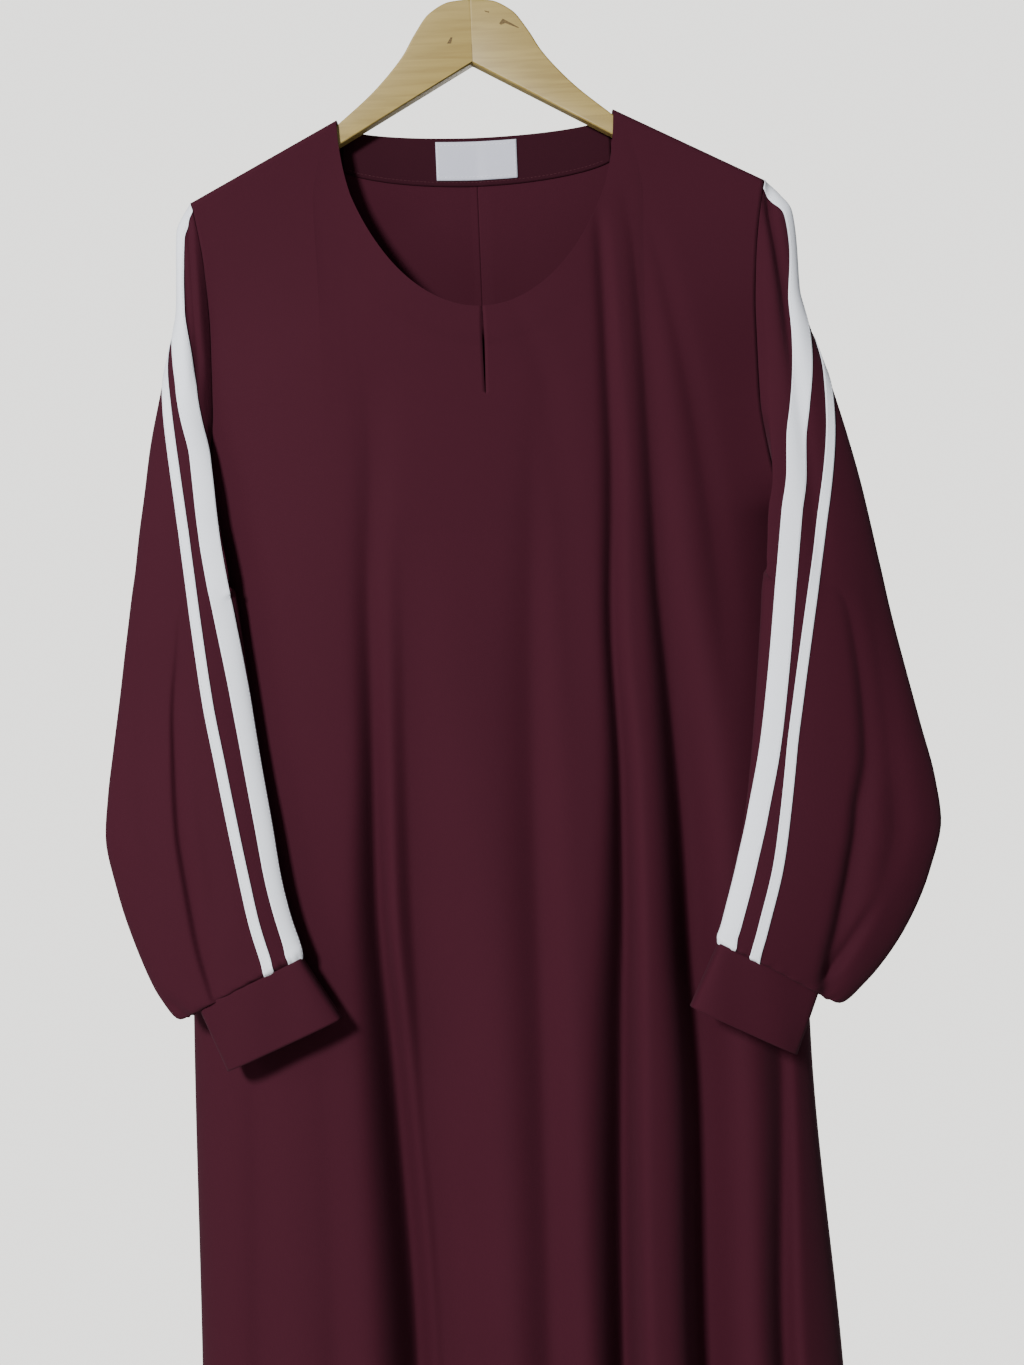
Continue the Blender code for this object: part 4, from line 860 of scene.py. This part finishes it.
right = {
    "side": -1,
    "head": (
        (0.2060, -0.2032, -0.0010, 0.0, 0.0, 0.0040, 0.0040),
        (0.2108, -0.2150, -0.0020, 0.0, 0.0, 0.0060, 0.0055),
        (0.2118, -0.2400, -0.0030, 0.0, 0.0, 0.0090, 0.0065),
        (0.2127, -0.2680, -0.0050, 0.0, 0.0, 0.0110, 0.0080),
        (0.2190, -0.2980, -0.0070, 0.0, 0.0, 0.0120, 0.0090),
        (0.2275, -0.3330, -0.0090, 0.0, 0.0, 0.0125, 0.0100),
        (0.2345, -0.3650, -0.0110, 0.0070, 0.0050, 0.0130, 0.0110),
        (0.2395, -0.3980, -0.0135, 0.0165, 0.0090, 0.0140, 0.0120),
        (0.2440, -0.4260, -0.0155, 0.0250, 0.0170, 0.0150, 0.0130),
        (0.2475, -0.4520, -0.0170, 0.0295, 0.0300, 0.0160, 0.0140),
    ),
    "tube": (
        (0.2500, -0.4665, -0.0180, 0.1742, -0.4450, -0.0315, 0.0328, 0.0195, 0.0162, 0.0145, 1.00),
        (0.2535, -0.4900, -0.0197, 0.1722, -0.4580, -0.0335, 0.0243, 0.0090, 0.0165, 0.0150, 1.00),
        (0.2560, -0.5070, -0.0210, 0.1762, -0.4714, -0.0355, 0.0, 0.0, 0.0165, 0.0150, 1.00),
        (0.2600, -0.5360, -0.0235, 0.1730, -0.4931, -0.0385, 0.0, 0.0, 0.0160, 0.0150, 1.00),
        (0.2655, -0.5730, -0.0270, 0.1685, -0.5320, -0.0435, 0.0, 0.0, 0.0160, 0.0150, 1.00),
        (0.2700, -0.6050, -0.0300, 0.1618, -0.5820, -0.0490, 0.0, 0.0, 0.0160, 0.0150, 1.00),
        (0.2722, -0.6330, -0.0325, 0.1550, -0.6270, -0.0537, 0.0, 0.0, 0.0160, 0.0150, 1.00),
        (0.2650, -0.6700, -0.0355, 0.1500, -0.6630, -0.0568, 0.0, 0.0, 0.0160, 0.0145, 0.95),
        (0.2540, -0.7050, -0.0395, 0.1440, -0.6900, -0.0588, 0.0, 0.0, 0.0165, 0.0145, 0.90),
        (0.2375, -0.7420, -0.0440, 0.1392, -0.7050, -0.0605, 0.0, 0.0, 0.0165, 0.0150, 0.85),
        (0.2235, -0.7570, -0.0480, 0.1376, -0.7110, -0.0620, 0.0, 0.0, 0.0155, 0.0145, 0.80),
        (0.2096, -0.7495, -0.0520, 0.1372, -0.7172, -0.0620, 0.0, 0.0, 0.0100, 0.0090, 0.60),
    ),
    "cuffEnd": (0.1918, -0.7919, -0.0540, 0.1125, -0.7577, -0.0640, 0.0, 0.0, 0.0105, 0.0095, 0.55),
    "pleat": {
        "ring": (12.0, 13.75, 14.75, 15.75, 17.25, 18.25, 19.5, 20.5, 22.0),
        "angle": (95, 91, 87, 86, 85, 83, 77, 71, 60),
        "depth": (0, 0.0010, 0.0028, 0.0040, 0.0046, 0.0046, 0.0042, 0.0030, 0.0010),
    },
    "pleatReach": (0.0020, 0.0100),
    "fill": {"ring": 12.60, "reach": 0.26, "by": 0.0037},
    "tapes": {
        "wide": (60, 30, 26, 22, 30, 72, 106, 123, 123.5, 125, 126.5, 127,
                 130, 143, 145.5, 151, 155, 156.5, 158, 158.5, 157, 155, 154),
        "narrow": (-62, -80, -72, -70, -60, -2, 52, 75, 86, 93, 98, 99.5,
                   102.5, 110, 112, 116, 121, 124, 125.5, 124, 122, 118.5, 112),
    },
    "creases": {
        "headOuter": {
            "down": (0.210, 0.23, 0.26, 0.30, 0.34), "x": (-0.2070, -0.2065, -0.2050, -0.2020, -0.1990),
            "steep": (0.0022, 0.0024, 0.0026, 0.0028, 0.0028),
            "gentle": (0.0032, 0.0036, 0.0040, 0.0044, 0.0044),
            "depth": (0, 0.0022, 0.0034, 0.0030, 0),
        },
        "headInner": {
            "down": (0.205, 0.22, 0.25, 0.30, 0.33), "x": (-0.2025, -0.2022, -0.2008, -0.1985, -0.1970),
            "steep": (0.0020, 0.0022, 0.0024, 0.0026, 0.0026), "gentle": (0.0030, 0.0032, 0.0036, 0.0038, 0.0038),
            "depth": (0, 0.0020, 0.0030, 0.0026, 0),
        },
        "outer": {
            "down": (0.43, 0.52, 0.60, 0.68), "x": (-0.2330, -0.2420, -0.2440, -0.2320),
            "steep": (0.007, 0.009, 0.010, 0.008), "gentle": (0.012, 0.013, 0.014, 0.012),
            "depth": (0, 0.0016, 0.0026, 0),
        },
        "inner": {
            "down": (0.56, 0.62, 0.67, 0.71), "x": (-0.2080, -0.2020, -0.1960, -0.1920),
            "steep": (0.006, 0.007, 0.007, 0.006), "gentle": (0.010, 0.011, 0.011, 0.009),
            "depth": (0, 0.0014, 0.0016, 0),
        },
        "pouch": {
            "down": (0.738, 0.748, 0.757, 0.766), "x": (-0.2350, -0.2250, -0.2160, -0.2100),
            "steep": (0.006, 0.006, 0.005, 0.004), "gentle": (0.008, 0.008, 0.006, 0.005),
            "depth": (0, 0.0024, 0.0030, 0),
        },
    },
}


def armholePoint(drop, side, isFront):
    # The armhole's edge at a drop from the shoulder, a seam's gap outside the panels
    z = body["shoulderZ"] - drop
    y = np.where(isFront, -throughTable(front["edge"], "y", z), throughTable(back["edge"], "y", z))
    return np.stack([side * (sideX(side, z) + body["seam"]), y * overArm(drop), z], axis=-1)


def capRing(angle, side):
    # First ring: along the armhole's edge over the shoulder tip, by its length
    way = np.linspace(-1.0, 1.0, 241)
    path = armholePoint(sleeve["capDrop"] * np.abs(way) ** 2.5, side, way < 0)
    reach = lengthAlong(path)
    return pointsAt((1 - angle / math.pi) / 2 * reach[-1], reach, path)


def turnBack(angle):
    # Share of the way back from the fold to the seam: across quickly, in depth slowly
    t = eased(sleeve["foldAngle"], math.pi, angle)
    return np.stack([1 - (1 - t) ** 1.5, t**1.5, t], axis=-1)


def tubeRing(angle, row, side):
    # A flattened ring: a cosine across from its outer to its inner edge, and a sine's power in depth
    r = dict(zip(ringColumns, row))
    inward = ((1 - np.cos(angle)) / 2)[..., None]
    outer = np.array((side * r["outerX"], r["outerY"], r["outerZ"]))
    inner = np.array((side * r["innerX"], r["innerY"], r["innerZ"]))
    seam = np.array((side * r["seamOut"], r["seamBack"], 0.0))
    ahead = (angle >= 0)[..., None]
    points = outer + (np.where(ahead, inner, inner + seam) - outer) * inward
    points[..., 1] += np.abs(np.sin(angle)) ** r["square"] * np.where(angle >= 0, -r["front"], r["back"])
    return points + seam * turnBack(angle)


def headRing(angle, row, drop, side):
    # The same between its outer edge, a fold in front of the armhole, and the armhole's two edges. High up
    # the share across is the angle's own, so that the head lies flat along the armhole
    r = dict(zip(headColumns, row))
    frontEdge, backEdge = armholePoint(drop, side, True), armholePoint(drop, side, False)
    fold = frontEdge - np.array((side * r["overhang"], r["forward"], 0.0))
    beside = np.maximum(np.abs(angle) / math.pi, 0.5)
    inward = (1 - np.cos(angle)) / 2
    low, high, drops = sleeve["headFlat"]
    flat = eased(low, high, drops - drop)
    inward = (inward + (np.where(beside > 0.5, beside, inward) - inward) * flat)[..., None]
    outer = np.array((side * r["outerX"], r["outerY"], r["outerZ"]))
    points = outer + (np.where((angle >= 0)[..., None], fold, backEdge) - outer) * inward
    points[..., 1] += np.abs(np.sin(angle)) * np.where(angle >= 0, -r["front"], r["back"])
    return points + (frontEdge - fold) * turnBack(angle)


def filled(angle, ring, arm):
    # Evens the outline where the head's fold passes into the tube's inner edge: a bell along the rings
    fill = arm["fill"]
    bell = np.exp(-(((ring - fill["ring"]) / fill["reach"]) ** 2))
    return fill["by"] * bell * eased(*sleeve["fillFrom"], np.abs(angle))


def pleated(angle, ring, arm):
    # One pleat down the front: depth times exp(-(distance over its reach) to a power). The distance is
    # the flattened ring's width times the cosines' difference
    pleat = arm["pleat"]
    where, depth = (smoothThrough(pleat["ring"], pleat[name], ring) for name in ("angle", "depth"))
    widths = [sleeve["headWidth"]] * (1 + len(arm["head"]))
    widths += [math.hypot(row[0] - row[3], row[1] - row[4]) for row in arm["tube"]]
    off = (np.cos(np.radians(where)) - np.cos(angle)) / 2 * np.interp(ring, range(len(widths)), widths)
    reach = np.where(off < 0, *arm["pleatReach"])
    return depth * np.exp(-(np.abs(off / reach) ** sleeve["pleatPower"])) * (angle > 0)


def sleevePoint(angle, ring, arm):
    # A smooth curve down the rings at each angle, less the pleat and creases, kept in front of the body
    side = arm["side"]
    rings = [capRing(angle, side)]
    rings += [headRing(angle, row, drop, side) for row, drop in zip(arm["head"], headDrops)]
    rings += [tubeRing(angle, row, side) for row in arm["tube"]]
    last = len(rings) - 1
    flat = np.stack(rings).reshape(len(rings), -1, 3)
    ring = np.broadcast_to(ring, angle.shape)
    out = np.stack([columnCurve(flat[:, :, axis], ring.ravel()) for axis in range(3)], axis=-1)
    out = out.reshape(angle.shape + (3,))
    out[..., 0] -= side * filled(angle, ring, arm)
    out[..., 1] += pleated(angle, ring, arm)
    x, z = out[..., 0], out[..., 2]
    facing = np.sin(angle)
    middle = eased(*sleeve["creaseFade"], np.abs(facing)) * np.sign(facing)
    fades = [1 - eased(last - before, last, ring) for before in sleeve["endFades"]]
    out[..., 1] += creaseDepth(x, z, arm["creases"]) * middle * fades[0]
    # Small puckers gather the cloth above the cuff
    puckers = np.sin(sleeve["puckers"] * angle + sleeve["puckerSway"] * np.sin(3 * angle))
    puckers = puckers * eased(*(last - above for above in sleeve["puckersAbove"]), ring)
    out[..., 1] -= sleeve["gather"] * puckers * middle * fades[1]
    limit = frontY(x, z) - sleeve["clearance"] + 4 * np.maximum(np.abs(x) - sideX(x, z), 0.0)
    weight = np.where(angle > 0, eased(*sleeve["frontPressed"], ring), eased(*sleeve["backPressed"], ring))
    fold = math.pi - np.abs(angle) + sleeve["foldReach"] * eased(*sleeve["foldPressed"], ring)
    weight = weight * eased(0.0, sleeve["foldReach"], fold)
    out[..., 1] += weight * np.minimum(limit - out[..., 1], 0.0)
    return out


def evenLine(middle, rings, arm):
    # Where the head passes into the tube a tape keeps the smooth line x(z) of the rings above and below:
    # at each ring, the angle at which the surface meets that line
    low, high = sleeve["evenFrom"], sleeve["evenTo"]
    centre = sleevePoint(middle, rings, arm)
    kept = (low - 3, low - 2, low - 1, low, high, high + 1, high + 2, high + 3)
    knots = [np.abs(rings - ring).argmin() for ring in kept]
    fan = np.radians(np.arange(*sleeve["fan"]))
    out = middle.copy()
    for at in np.flatnonzero((rings > low) & (rings < high)):
        around = sleevePoint(fan, np.full(fan.shape, rings[at]), arm)
        x = arm["side"] * around[:, 0]
        wanted = arm["side"] * smoothThrough(-centre[knots, 2], centre[knots, 0], -around[:, 2])
        fold = x.argmin() + 1
        out[at] = np.interp(0.0, (wanted - x)[:fold], fan[:fold])
    return out


def tapeEdges(path, width, rings, arm):
    # Angles of a tape's two edges: half its width each way along the sleeve's girth, more where it slants
    middle = evenLine(np.radians(smoothThrough(range(len(path)), path, rings)), rings, arm)
    ahead = unit(np.gradient(sleevePoint(middle, rings, arm), axis=0))
    fine = np.linspace(-sleeve["girth"], sleeve["girth"], 121)
    around = sleevePoint(np.clip(middle[:, None] + fine, -math.pi, math.pi), rings[:, None], arm)
    reach = np.array([lengthAlong(line) for line in around])
    reach -= reach[:, 60:61]
    tangent = unit(around[:, 63] - around[:, 57])
    slant = np.sqrt(1 - np.clip(np.sum(tangent * ahead, axis=-1), -0.8, 0.8) ** 2)
    ends = [middle + [np.interp(way * width / 2 / s, r, fine) for s, r in zip(slant, reach)] for way in (1, -1)]
    return [np.minimum(end, math.pi - sleeve["foldMargin"]) for end in ends]


def lastRing(arm):
    # Number of the ring at the cuff; the first one, 0, is the armhole
    return len(arm["head"]) + len(arm["tube"])


def makeSleeve(name, node, arm):
    # The whole round at every angle, from the armhole to the cuff
    last = lastRing(arm)
    rings = np.linspace(0, last, last * sleeve["rowsPerRing"] + 1)
    angle = np.linspace(math.pi, -math.pi, sleeve["columns"] + 1)
    points = sleevePoint(np.broadcast_to(angle, (len(rings), len(angle))), rings[:, None], arm)
    middle = points.mean(axis=1)[::8]

    def outward(centre):
        # Away from the middle of the ring nearest in height
        nearest = np.abs(centre[:, None, 2] - middle[None, :, 2]).argmin(axis=1)
        return centre - middle[nearest]

    return clothMesh(name, [points], crepeCloth, sleeve["wall"], outward, node, merge=True)


def makeTape(name, node, path, width, arm):
    # The sleeve's own surface between the tape's edges, lifted along its normals
    last = lastRing(arm)
    rings = np.linspace(sleeve["tapeEnds"][0], last - sleeve["tapeEnds"][1], last * sleeve["tapeRowsPerRing"])
    outer, inner = tapeEdges(path, width, rings, arm)
    angle = outer[:, None] + (inner - outer)[:, None] * np.linspace(0, 1, 9)
    points = sleevePoint(angle, rings[:, None], arm)
    normal = gridNormals(points)
    normal *= -np.sign(np.sum(normal[..., 1]))
    lifted = points + normal * (sleeve["tapeLift"] + sleeve["tapeThick"])
    piece = clothMesh(name, [lifted], tapeCloth, sleeve["tapeThick"], (0, -1, 0), node)
    piece.modifiers.new("flatTop", "WEIGHTED_NORMAL").keep_sharp = True
    return piece, lifted, normal


def makeCuff(name, node, arm):
    # A straight band from a lap over the sleeve's last ring to its open end. It stands proud of the sleeve by
    # a swell on each face, rounder by half a sine along it, with a slight wave round it
    angle = np.linspace(math.pi, -math.pi, cuff["columns"])
    top, end = tubeRing(angle, arm["tube"][-1], arm["side"]), tubeRing(angle, arm["cuffEnd"], arm["side"])
    start = top - unit(end - top) * cuff["lap"]
    share = np.linspace(0, 1, cuff["rows"])[:, None, None]
    points = start + (end - start) * share
    middle = points.mean(axis=(0, 1))
    face, along = np.sin(angle)[None, :], share[..., 0]
    swell = np.where(face > 0, cuff["frontSwell"], cuff["backSwell"])
    swell = swell + cuff["round"] * np.sin(math.pi * along) ** 0.5 + cuff["wave"] * np.sin(5 * angle + 3 * along)
    points[..., 1] -= swell * eased(0.0, cuff["swellFrom"], np.abs(face)) * np.sign(face)

    def outward(centre):
        # Away from the cuff's middle, level
        return (centre - middle) * (1, 1, 0)

    return clothMesh(name, [points], crepeCloth, cuff["wall"], outward, node, merge=True)


arms = {"Right": right, "Left": left}
for label, arm in arms.items():
    ending = "_" + label.lower()
    arm["sleeve"] = makeSleeve("sleeve" + label, "sleeve" + ending, arm)
    arm["cuff"] = makeCuff("cuff" + label, "cuff" + ending, arm)
    for kind in ("wide", "narrow"):
        path, width = arm["tapes"][kind], sleeve[kind + "Tape"]
        arm[kind] = makeTape(kind + "Tape" + label, kind + "_tape" + ending, path, width, arm)
    print("sleeve made:", label)


# Stitches

stitch = {
    "pitch": 0.0028, "length": 0.0021, "radius": 0.00018, "inset": 0.0011, "sides": 6,
    "shape": ((-0.36, 1.0), (0.0, 1.15), (0.36, 1.0)), "tip": (0.5, -0.6),
    "hemReach": 0.985, "facingReach": 0.97, "facingUp": 0.0022,
}


def stitchTemplate():
    # A short six-sided thread with pointed ends: verts as along, across and up, and its faces
    n = stitch["sides"]
    turn = np.arange(n) * 2 * math.pi / n
    circle = np.stack([np.zeros(n), np.cos(turn), np.sin(turn)], axis=-1)
    tip, down = stitch["tip"]
    rings = [circle * size + (at, 0, 0) for at, size in stitch["shape"]]
    verts = np.concatenate(rings + [[(-tip, 0, down), (tip, 0, down)]])
    faces = []
    for k in range(n):
        m = (k + 1) % n
        faces += [(r * n + k, r * n + m, (r + 1) * n + m, (r + 1) * n + k) for r in (0, 1)]
        faces += [(3 * n, m, k), (3 * n + 1, 2 * n + k, 2 * n + m)]
    return verts, faces


def makeStitches(name, runs, material):
    # Along each run of points, with its normals: one thread a pitch, half sunk in the cloth
    template, faces = stitchTemplate()
    placed = []
    for path, up in runs:
        reach = lengthAlong(path)
        at = np.arange(stitch["pitch"], reach[-1] - stitch["pitch"] / 2, stitch["pitch"])
        start, end = (pointsAt(at + way * stitch["length"] / 2, reach, path) for way in (-1, 1))
        normal = pointsAt(at, reach, up)
        across = unit(np.cross(end - start, normal))
        axes = np.stack([end - start, across * stitch["radius"], normal * stitch["radius"]], axis=1)
        placed.append((start + end)[:, None] / 2 + np.einsum("vk,nkc->nvc", template, axes))
    verts = np.concatenate(placed).reshape(-1, 3)
    starts = range(0, len(verts), len(template))
    mesh = newMesh(name, verts.tolist(), [tuple(start + v for v in face) for start in starts for face in faces])
    mesh.shade_smooth()
    return addPiece(name, mesh, material)


def tapeRuns(points, normal, width):
    # Two lines a stitch's inset inside the tape's long edges
    share = stitch["inset"] / (width / (points.shape[1] - 1))
    low = int(share)
    part = share - low
    runs = []
    for near, far in ((low, low + 1), (-1 - low, -2 - low)):
        runs.append((points[:, near] * (1 - part) + points[:, far] * part, normal[:, near]))
    return runs


def levelRun(points, facing):
    # A line of points with one normal
    return points, np.broadcast_to(np.array(facing, float), points.shape)


def hemRun(surface, facing):
    # Just above the groove that the hem's stitching makes, from side to side
    x = np.linspace(-stitch["hemReach"], stitch["hemReach"], 400) * sideX(1.0, hemZ)
    z = np.full(x.shape, hemZ + body["hem"])
    return levelRun(np.stack([x, surface(x, z), z], axis=-1), facing)


def facingRun():
    # Along the facing's lower edge, a little above it
    x = np.linspace(-trim["facingX"], trim["facingX"], 120) * stitch["facingReach"]
    z = backNeckZ(x) - facingDepth(x) + stitch["facingUp"]
    return levelRun(onBack(x, z, trim["facingIn"]), (0, -1, 0))


for label, arm in arms.items():
    for kind in ("wide", "narrow"):
        _, points, normal = arm[kind]
        runs = tapeRuns(points, normal, sleeve[kind + "Tape"])
        arm[kind + "Stitches"] = makeStitches(kind + "Stitches" + label, runs, threadPale)
edges = [labelPoints[2, 1:-1], labelPoints[-3, 1:-1], labelPoints[1:-1, 1], labelPoints[1:-1, -2]]
labelStitches = makeStitches("labelStitches", [levelRun(edge, (0, -1, 0)) for edge in edges], threadPale)
hemRuns = [hemRun(frontY, (0, -1, 0)), hemRun(backY, (0, 1, 0))]
hemStitches = makeStitches("hemStitches", hemRuns, threadDark)
facingStitches = makeStitches("facingStitches", [facingRun()], threadDark)
print("stitches made")


# Hanger and hook

hanger = {
    "headZ": -0.0600, "thick": 0.0110, "edge": 0.0013, "play": 0.0024, "clothWall": 0.0012,
    "crotchZ": -0.1050, "underSlope": 0.561, "endX": 0.1900, "endHeight": 0.0160, "sharp": 50,
    "headX": (0.0, 0.0140, 0.0290, 0.0400, 0.0480, 0.0580, 0.0720),
    "headTop": (-0.0600, -0.0613, -0.0690, -0.0835, -0.0970, -0.1095, -0.1240),
    "nicks": (
        ((-0.0132, -0.0866), (-0.0145, -0.0865), (-0.0173, -0.0908), (-0.0144, -0.0909)),
        ((0.0223, -0.0749), (0.0334, -0.0815), (0.0328, -0.0820), (0.0239, -0.0781), (0.0210, -0.0792),
         (0.0196, -0.0783)),
        ((0.0098, -0.0688), (0.0132, -0.0697), (0.0127, -0.0705), (0.0100, -0.0695)),
    ),
    "glueHalf": 0.7, "glueTop": 0.0008, "glueEnd": 0.0003, "glueSunk": 0.00008,
    "crackTop": 0.0130, "crackEnd": 0.0004, "crackSunk": 0.00002, "crackThick": 0.0003,
    "nickProud": 0.00006, "nickThick": 0.0004,
}
hook = {"wire": 0.0017, "bend": 0.0170, "stemZ": -0.0490, "sides": 18, "arc": (200, -50), "tip": (0.45, 0.78, 0.93)}


def thickOutline(name, corners, front, thick):
    # The outline's corners in x and z at the depth "front", and again further back by the thickness: a face
    # on each, and a band of quads between them
    count = len(corners)
    verts = [(x, y, z) for y in (front, front + thick) for x, z in corners]
    band = [(k, (k + 1) % count, (k + 1) % count + count, k + count) for k in range(count)]
    mesh = newMesh(name, verts, [tuple(range(count)), tuple(range(count, 2 * count)), *band])
    bm = openMesh(mesh)
    bmesh.ops.recalc_face_normals(bm, faces=bm.faces)
    return mesh, bm


def makeHangerHalf(name, node, side):
    # Sawn outline of the head, the sloping arm and its round end, drawn through the board's thickness
    drop = (hanger["clothWall"] + hanger["play"]) * math.hypot(1.0, body["slope"])
    neckX, crotchZ = body["neckX"], hanger["crotchZ"]
    topX = np.linspace(0.0, neckX, 60)
    places, heights = hanger["headX"] + (neckX,), hanger["headTop"] + (shoulderZ(neckX) - drop,)
    outline = list(zip(topX, smoothThrough(places, heights, topX)))
    half, slope = hanger["endHeight"] / 2, math.atan(body["slope"])
    endZ = float(shoulderZ(hanger["endX"])) - drop
    middle = (hanger["endX"] - half * math.sin(slope), endZ - half * math.cos(slope))
    turns = np.linspace(math.pi / 2 - slope, -math.pi / 2 - slope, 24)
    outline += [(middle[0] + half * math.cos(turn), middle[1] + half * math.sin(turn)) for turn in turns]
    outline += [(neckX, crotchZ - hanger["underSlope"] * neckX), (0.0, crotchZ)]
    corners = [(side * max(x, body["seam"] / 2), z) for x, z in outline]
    mesh, bm = thickOutline(name, corners, -hanger["thick"] / 2, hanger["thick"])
    # Every sharp edge is rounded but those of the glued joint
    weight = bm.edges.layers.float.new("bevel_weight_edge")
    for edge in bm.edges:
        glued = all(abs(v.co.x) < body["seam"] for v in edge.verts)
        edge[weight] = float(not glued and edge.calc_face_angle() > math.radians(hanger["sharp"]))
    closeMesh(bm, mesh)
    mesh.shade_smooth()
    piece = addPiece(name, mesh, paleWood, node)
    bevel = piece.modifiers.new("roundedEdges", "BEVEL")
    bevel.width = hanger["edge"]
    bevel.segments = 4
    bevel.limit_method = "WEIGHT"
    piece.modifiers.new("flatFaces", "WEIGHTED_NORMAL").keep_sharp = True


def makePlate(name, corners, front, thick, material):
    # A thin flat piece let into the board
    mesh, bm = thickOutline(name, corners, front, thick)
    closeMesh(bm, mesh)
    addPiece(name, mesh, material)


def makeJoint():
    # The glued joint's line, a little wider than the seam's gap, and a dark strip where it has opened a little at
    # its lower end: painted shade in that gap
    half, face, crotchZ = body["seam"] * hanger["glueHalf"], -hanger["thick"] / 2, hanger["crotchZ"]

    def strip(top, end):
        # Four corners between two heights
        return [(-half, top), (half, top), (half, end), (-half, end)]

    glue = strip(hanger["headTop"][0] - hanger["glueTop"], crotchZ + hanger["glueEnd"])
    sunk = hanger["glueSunk"]
    makePlate("glueLine", glue, face + sunk, hanger["thick"] - 2 * sunk, paleWood)
    # A dark plate almost flush with the face where the joint has opened: painted shade in the gap
    crack = strip(crotchZ + hanger["crackTop"], crotchZ + hanger["crackEnd"])
    makePlate("openJointPaintedShade", crack, face + hanger["crackSunk"], hanger["crackThick"], darkWoodAndGapShade)


def makeHook():
    # Wire over the rail, round and straight down into the head: circles about a smooth line, closed at both
    # ends. The stem comes back to the middle by a smooth step
    line = hook["bend"] + hook["wire"]
    turn = np.radians(np.linspace(*hook["arc"], 90))
    arc = np.stack([line * np.cos(turn), line * np.sin(turn) - hook["bend"]], axis=-1)
    t = np.linspace(0, 1, 40)[1:]
    stem = np.stack([arc[-1, 0] * (1 - eased(0, 1, t)), arc[-1, 1] + (hook["stemZ"] - arc[-1, 1]) * t], axis=-1)
    flat = np.concatenate([arc, stem, [(0.0, hanger["headZ"] + body["seam"])]])
    path = np.stack([flat[:, 0], np.zeros(len(flat)), flat[:, 1]], axis=-1)
    beside = np.cross(unit(np.gradient(path, axis=0)), (0.0, 1.0, 0.0))
    around = np.arange(hook["sides"]) * 2 * math.pi / hook["sides"]
    size = np.full(len(path), hook["wire"])
    size[:3] *= hook["tip"]
    ring = beside[:, None] * np.cos(around)[:, None] + np.array((0.0, 1.0, 0.0)) * np.sin(around)[:, None]
    verts = (path[:, None] + ring * size[:, None, None]).reshape(-1, 3)
    index = np.arange(len(verts)).reshape(len(path), hook["sides"])
    following = np.roll(index, -1, axis=1)
    quads = np.stack([index[:-1], following[:-1], following[1:], index[1:]], axis=-1).reshape(-1, 4).tolist()
    mesh = newMesh("wireHook", verts.tolist(), quads + [index[0, ::-1].tolist(), index[-1].tolist()])
    bm = openMesh(mesh)
    bmesh.ops.recalc_face_normals(bm, faces=bm.faces)
    closeMesh(bm, mesh)
    mesh.shade_smooth()
    addPiece("wireHook", mesh, hookSteel, "hook")


makeHangerHalf("hangerRight", "hanger_right", -1)
makeHangerHalf("hangerLeft", "hanger_left", 1)
makeHook()
makeJoint()
for number, nick in enumerate(hanger["nicks"], 1):
    makePlate("nick%d" % number, nick, -hanger["thick"] / 2 - hanger["nickProud"], hanger["nickThick"], darkWoodAndGapShade)
print("hanger made")
